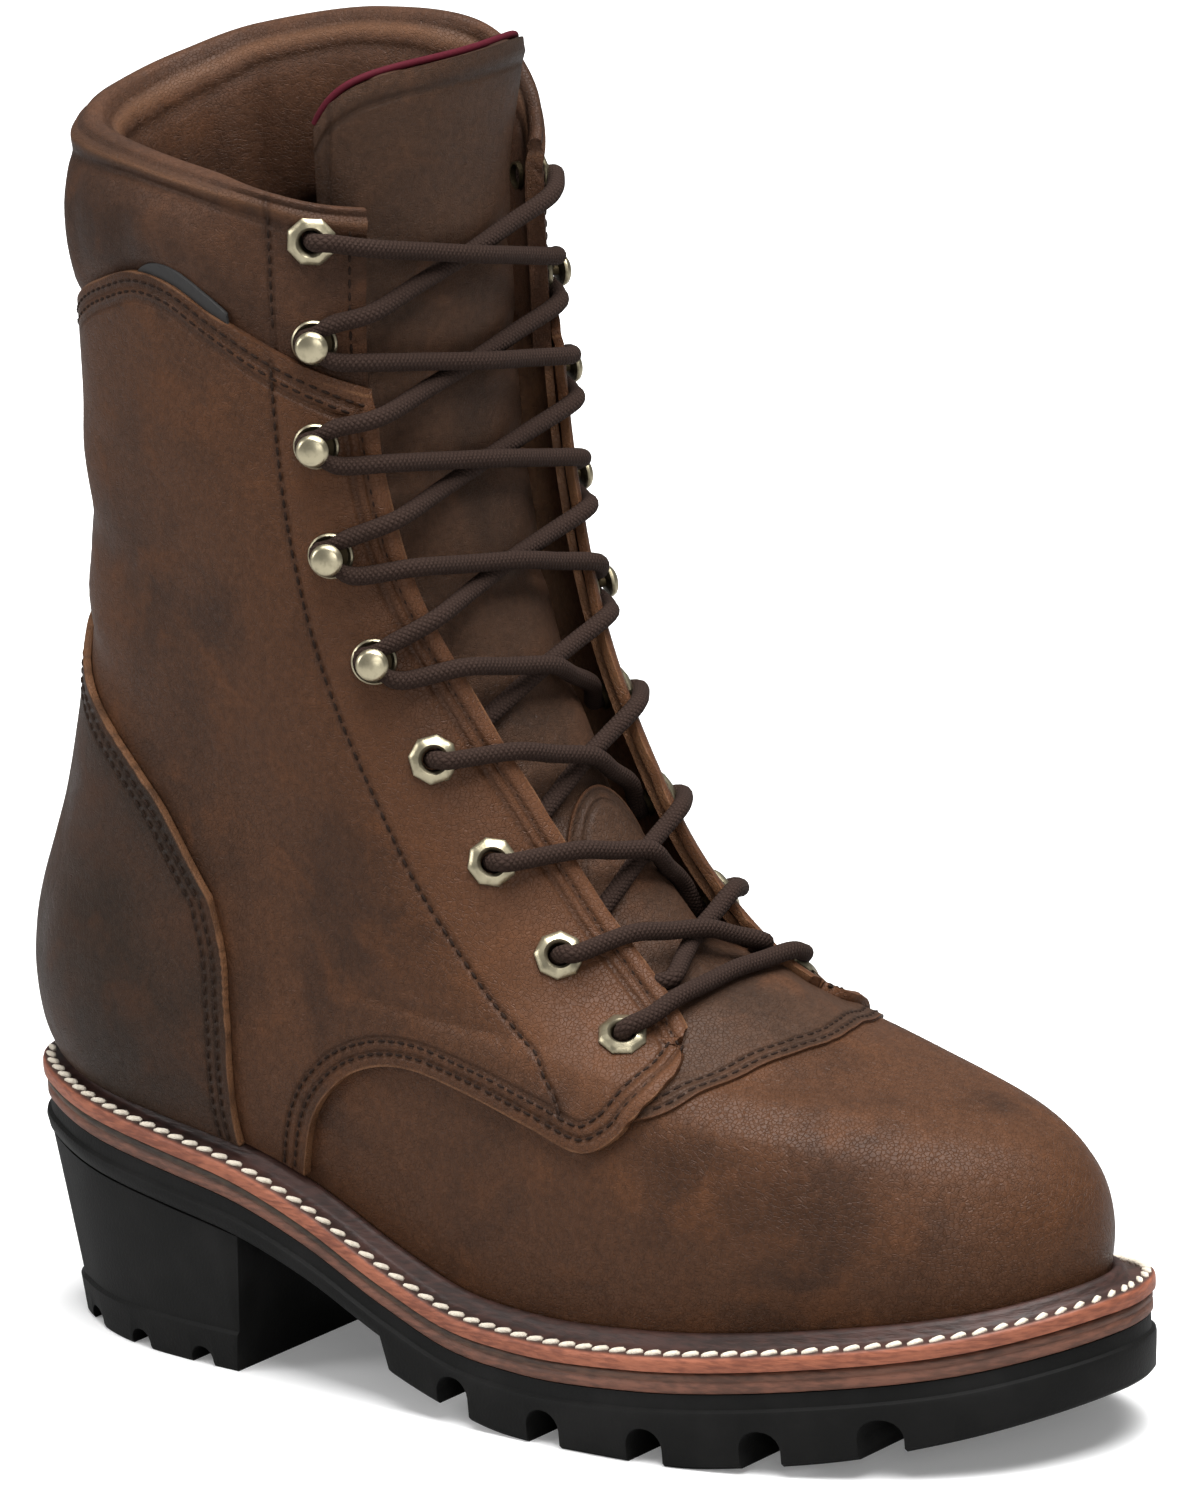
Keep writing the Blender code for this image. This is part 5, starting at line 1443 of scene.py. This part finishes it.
WELT_PITCH = 0.0050
WELT_STITCH = 0.0046
WELT_THREAD = 0.00085
WELT_SEAM = 0.0084
WELT_SLANT = 0.30
WELT_BOW = 0.0005
WAXED_WHITE = (0.86, 0.80, 0.68)
WAXED_SHADE = (0.62, 0.52, 0.40)
white_thread, tree, shader = new_material("white_waxed_thread", 0.7)
strands = noise(tree, 1400.0, 3.0)
paint(tree, blended(tree, strands, WAXED_WHITE, WAXED_SHADE), strands, 0.6, 0.0003)

# Slanted lock stitches round the welt's top, close to its edge
fine = sole_edge(np.linspace(0.0, ROUND, 6000), WELT_SEAM) + (0, 0, 0.0002)
run = run_along(fine)
marks = np.arange(0, run[-1] - WELT_PITCH / 2, WELT_PITCH)
bead = stitch_shape * (WELT_STITCH / 2, WELT_THREAD, WELT_THREAD)
bead[:, 1] += WELT_BOW * np.sin(np.pi * stitch_shape[:, 0])
corners = []
for k in np.clip(np.searchsorted(run, marks), 4, len(fine) - 5):
    ahead = unit(fine[k + 4] - fine[k - 4])
    along = unit(ahead + unit(np.cross((0.0, 0.0, 1.0), ahead)) * WELT_SLANT)
    across = np.cross((0.0, 0.0, 1.0), along)
    corners.append(fine[k] + bead @ np.stack([along, across, np.cross(along, across)]))
sew("welt_stitches", corners, white_thread, "welt_leather")


# The midsole: a layer of sole leather under the welt. Its cut edge is brown, with a band of painted shade for
# the groove under the welt, strongest at the heel and fading towards the toe.
MIDSOLE_THICKNESS = 0.0050
MIDSOLE_INSET = 0.0008
LAYER_GAP = 0.0003
MIDSOLE_TOP = WELT_THICKNESS + LAYER_GAP
# Edge of the midsole: share of its thickness from the top, how far in, in millimetres
MIDSOLE_SECTION = [
    (0.0, 1.2), (0.04, 0.5), (0.10, 0.25), (0.16, 0.0), (0.34, 0.0), (0.42, 0.35), (0.48, 0.35), (0.56, 0.0),
    (0.92, 0.0), (1.0, 0.4),
]
# Colours of its cut edge: light and dark brown, then light and dark of the painted shade under the welt
MIDSOLE_COLOURS = (
    (0.200, 0.084, 0.054), (0.105, 0.048, 0.032), (0.058, 0.042, 0.026), (0.028, 0.021, 0.015),
)


def layer(corners, stations=180, first=0.0, last=BACK):
    """Cross sections of a sole layer from toe to heel. corners(turn) gives one side's, top first."""
    return np.array([
        corners(turn) + corners(ROUND - turn)[::-1] for turn in np.linspace(first, last, stations)
    ])


def edge_corner(turn, out, drop):
    """A point on the outline of the sole, at a depth under the welt's top."""
    return sole_edge(turn, out) - (0, 0, drop)


midsole_out = WELT_LEDGE - MIDSOLE_INSET
points = layer(lambda turn: [
    edge_corner(turn, midsole_out - inward / 1000, MIDSOLE_TOP + share * MIDSOLE_THICKNESS)
    for share, inward in MIDSOLE_SECTION
])
depth = np.array([share for share, _ in MIDSOLE_SECTION])
depth = np.concatenate([depth, depth[::-1]])
length_share = (HEEL_CENTRE - points[..., 1]) / LENGTH
midsole = drape(
    "midsole_layer", points, wrapped=True,
    # Painted shade: darkest a fifth of the way down the edge under the welt, full over the heel, fading
    # towards the toe
    olive_share=np.clip(1.25 - np.abs(depth - 0.20) * 3.6, 0, 1) * np.clip(1.6 - 1.6 * length_share, 0.25, 1),
)
midsole.data.materials.append(edge_leather("midsole_edge", MIDSOLE_COLOURS, 0.55, "olive_share"))
sew_in(midsole, "midsole_leather", "midsole", smooth_angle=50)


# The outsole: one moulding of black rubber, with a plain shank and a forefoot cut into deep lugs
# by arched slots from both sides.
OUTSOLE_INSET = 0.0004
OUTSOLE_STEP = 0.0010
STEP_DEPTH = 0.0042
SHANK_THICKNESS = 0.0085
OUTSOLE_TOP = MIDSOLE_TOP + MIDSOLE_THICKNESS + LAYER_GAP
TREAD_START = 0.430 * LENGTH
LUG_DEPTH = 0.0090
LUG_GAP = 0.0100
LUG_REACH = 0.0300
LUG_PLACES = (0.497, 0.590, 0.688, 0.786, 0.876)
# Underside of the tread: share of the length from the back, share of the height
TREAD_LINE = [
    (0.400, 0.045), (0.430, 0.032), (0.492, 0.012), (0.540, 0.002), (0.570, 0.000), (0.640, 0.000),
    (0.720, 0.000), (0.780, 0.006), (0.860, 0.017), (0.930, 0.032), (1.000, 0.050),
]
RUBBER = (0.0045, 0.0045, 0.0042)
RUBBER_WORN = (0.0100, 0.0096, 0.0092)

rubber, tree, shader = new_material("black_rubber", 0.5, 0.16)
mould = noise(tree, 1300.0, 4.0)
bloom = noise(tree, 50.0, 4.0)
paint(tree, blended(tree, stretch(tree, bloom, 0.4, 0.75), RUBBER, RUBBER_WORN), mould, 0.5, 0.0002)
spread = new_node(tree, "ShaderNodeMapRange", {0: bloom, 3: 0.48, 4: 0.68})
tree.links.new(spread.outputs[0], shader.inputs["Roughness"])


def turn_at(distance):
    """Place on the lateral outline at a distance from the back of the welt."""
    turns = np.linspace(0.5, 5.5, 2000)
    ahead = HEEL_CENTRE - sole_edge(turns, WELT_LEDGE)[:, 1]
    return float(np.interp(-distance, -ahead, turns))


def sole_side(turn, tread):
    """Corners down one side of the outsole: a stepped lip, a wall and a rounded foot."""
    out = WELT_LEDGE - OUTSOLE_INSET
    high = sole_edge(turn, out)
    if tread:
        floor = read(TREAD_LINE, (HEEL_CENTRE - high[1]) / LENGTH) * HEIGHT
        bottom = high[2] - floor
    else:
        bottom = OUTSOLE_TOP + SHANK_THICKNESS
    step = OUTSOLE_TOP + STEP_DEPTH
    return [edge_corner(turn, out + further, drop) for further, drop in (
        (-OUTSOLE_STEP, OUTSOLE_TOP), (-OUTSOLE_STEP, step - 0.0006), (0.0, step),
        (0.0002, step + 0.0010), (-0.0003, bottom - 0.0010), (-0.0013, bottom),
    )]


def arched_punch(centre, reach, width, height):
    """A bar across the sole with a round top, to cut a slot between two lugs."""
    bpy.ops.object.select_all(action="DESELECT")
    bpy.ops.mesh.primitive_cube_add(size=1.0)
    punch = bpy.context.object
    punch.data.transform(Matrix.Diagonal((reach, width, height, 1.0)))
    bpy.ops.object.mode_set(mode="EDIT")
    bpy.ops.mesh.select_all(action="DESELECT")
    bpy.ops.mesh.select_mode(type="EDGE")
    bpy.ops.object.mode_set(mode="OBJECT")
    for edge in punch.data.edges:
        one, two = (punch.data.vertices[k].co for k in edge.vertices)
        edge.select = one.z > 0 and two.z > 0 and abs(one.y - two.y) < 1e-6
    bpy.ops.object.mode_set(mode="EDIT")
    bpy.ops.mesh.bevel(offset=width * 0.46, segments=5)
    bpy.ops.object.mode_set(mode="OBJECT")
    punch.data.transform(Matrix.Translation(centre))
    return punch


step_turn = turn_at(TREAD_START)
front = layer(lambda turn: sole_side(turn, True), 130, 0.0, step_turn)
rear = layer(lambda turn: sole_side(turn, False), 90, step_turn + 0.03)
outsole = drape("outsole_rubber", np.concatenate([front, rear]), wrapped=True)
punches = []
for share in LUG_PLACES:
    floor_height = float(read(TREAD_LINE, share)) * HEIGHT
    slot_turn = turn_at(share * LENGTH)
    for side_turn in (slot_turn, ROUND - slot_turn):
        x, y, _ = sole_edge(side_turn, WELT_LEDGE)
        punches.append(arched_punch(Vector((x, y, floor_height)), 2 * LUG_REACH, LUG_GAP, 2 * LUG_DEPTH))
punch_out([outsole], punches)
outsole.data.materials.append(rubber)
round_edges(outsole, 0.0005, 40)
sew_in(outsole, "rubber", "outsole", smooth_angle=40)


# The heel: a tall block of the same rubber, tapered to the floor and sloped at its breast, with
# a lipped foot and scalloped edges.
HEEL_LENGTH = 0.256 * LENGTH
HEEL_BREAST_SLOPE = 0.0050
HEEL_SIDE_TAPER = 0.0030
HEEL_BACK_TAPER = 0.0060
HEEL_LEDGE_HEIGHT = 0.0095
HEEL_LEDGE = 0.0012
HEEL_LUG_PLACES = (0.28, 0.56, 0.85)

heel_out = WELT_LEDGE - OUTSOLE_INSET - OUTSOLE_STEP
heel_drop = OUTSOLE_TOP + SHANK_THICKNESS + LAYER_GAP
breast_turn = turn_at(HEEL_LENGTH)


def heel_side(turn):
    """Corners down one side of the heel."""
    first = min(turn, ROUND - turn) < breast_turn + 1e-6
    narrow = HEEL_SIDE_TAPER + HEEL_BACK_TAPER * max(0.0, outward(turn, 0.0)[1]) ** 2
    top_y = HEEL_CENTRE - HEEL_LENGTH - HEEL_BREAST_SLOPE if first else sole_edge(turn, heel_out)[1]
    top = float(welt_height(top_y)) - heel_drop
    corners = []
    for height, ledge in (
        (top, 0), (HEEL_LEDGE_HEIGHT + 0.0008, 0), (HEEL_LEDGE_HEIGHT, 1), (0.0010, 1), (0.0, 0.6),
    ):
        share = 1 - height / top
        point = sole_edge(turn, heel_out - narrow * share + HEEL_LEDGE * (ledge - 1) * share)
        if first:
            point[1] = HEEL_CENTRE - HEEL_LENGTH - HEEL_BREAST_SLOPE * (1 - share)
        point[2] = height if share else welt_height(point[1]) - heel_drop
        corners.append(point)
    return corners


heel = drape("heel_block", layer(heel_side, 110, breast_turn), wrapped=True)
punches = []
for share in HEEL_LUG_PLACES:
    notch_turn = turn_at(share * HEEL_LENGTH)
    for side_turn in (notch_turn, ROUND - notch_turn):
        x, y, _ = sole_edge(side_turn, WELT_LEDGE)
        punches.append(arched_punch(Vector((x, y, 0.0)), LUG_REACH, LUG_GAP * 0.75, LUG_DEPTH))
punch_out([heel], punches)
heel.data.materials.append(rubber)
round_edges(heel, 0.0006, 40)
sew_in(heel, "rubber", "heel", smooth_angle=40)


# The insole: a board of firm leather inside, on which the upper's edges are lasted.
board = edge_leather("insole_board", ((0.26, 0.155, 0.09), (0.17, 0.10, 0.06)), 0.8)
for slot_of_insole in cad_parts["insole"].material_slots:
    slot_of_insole.material = board
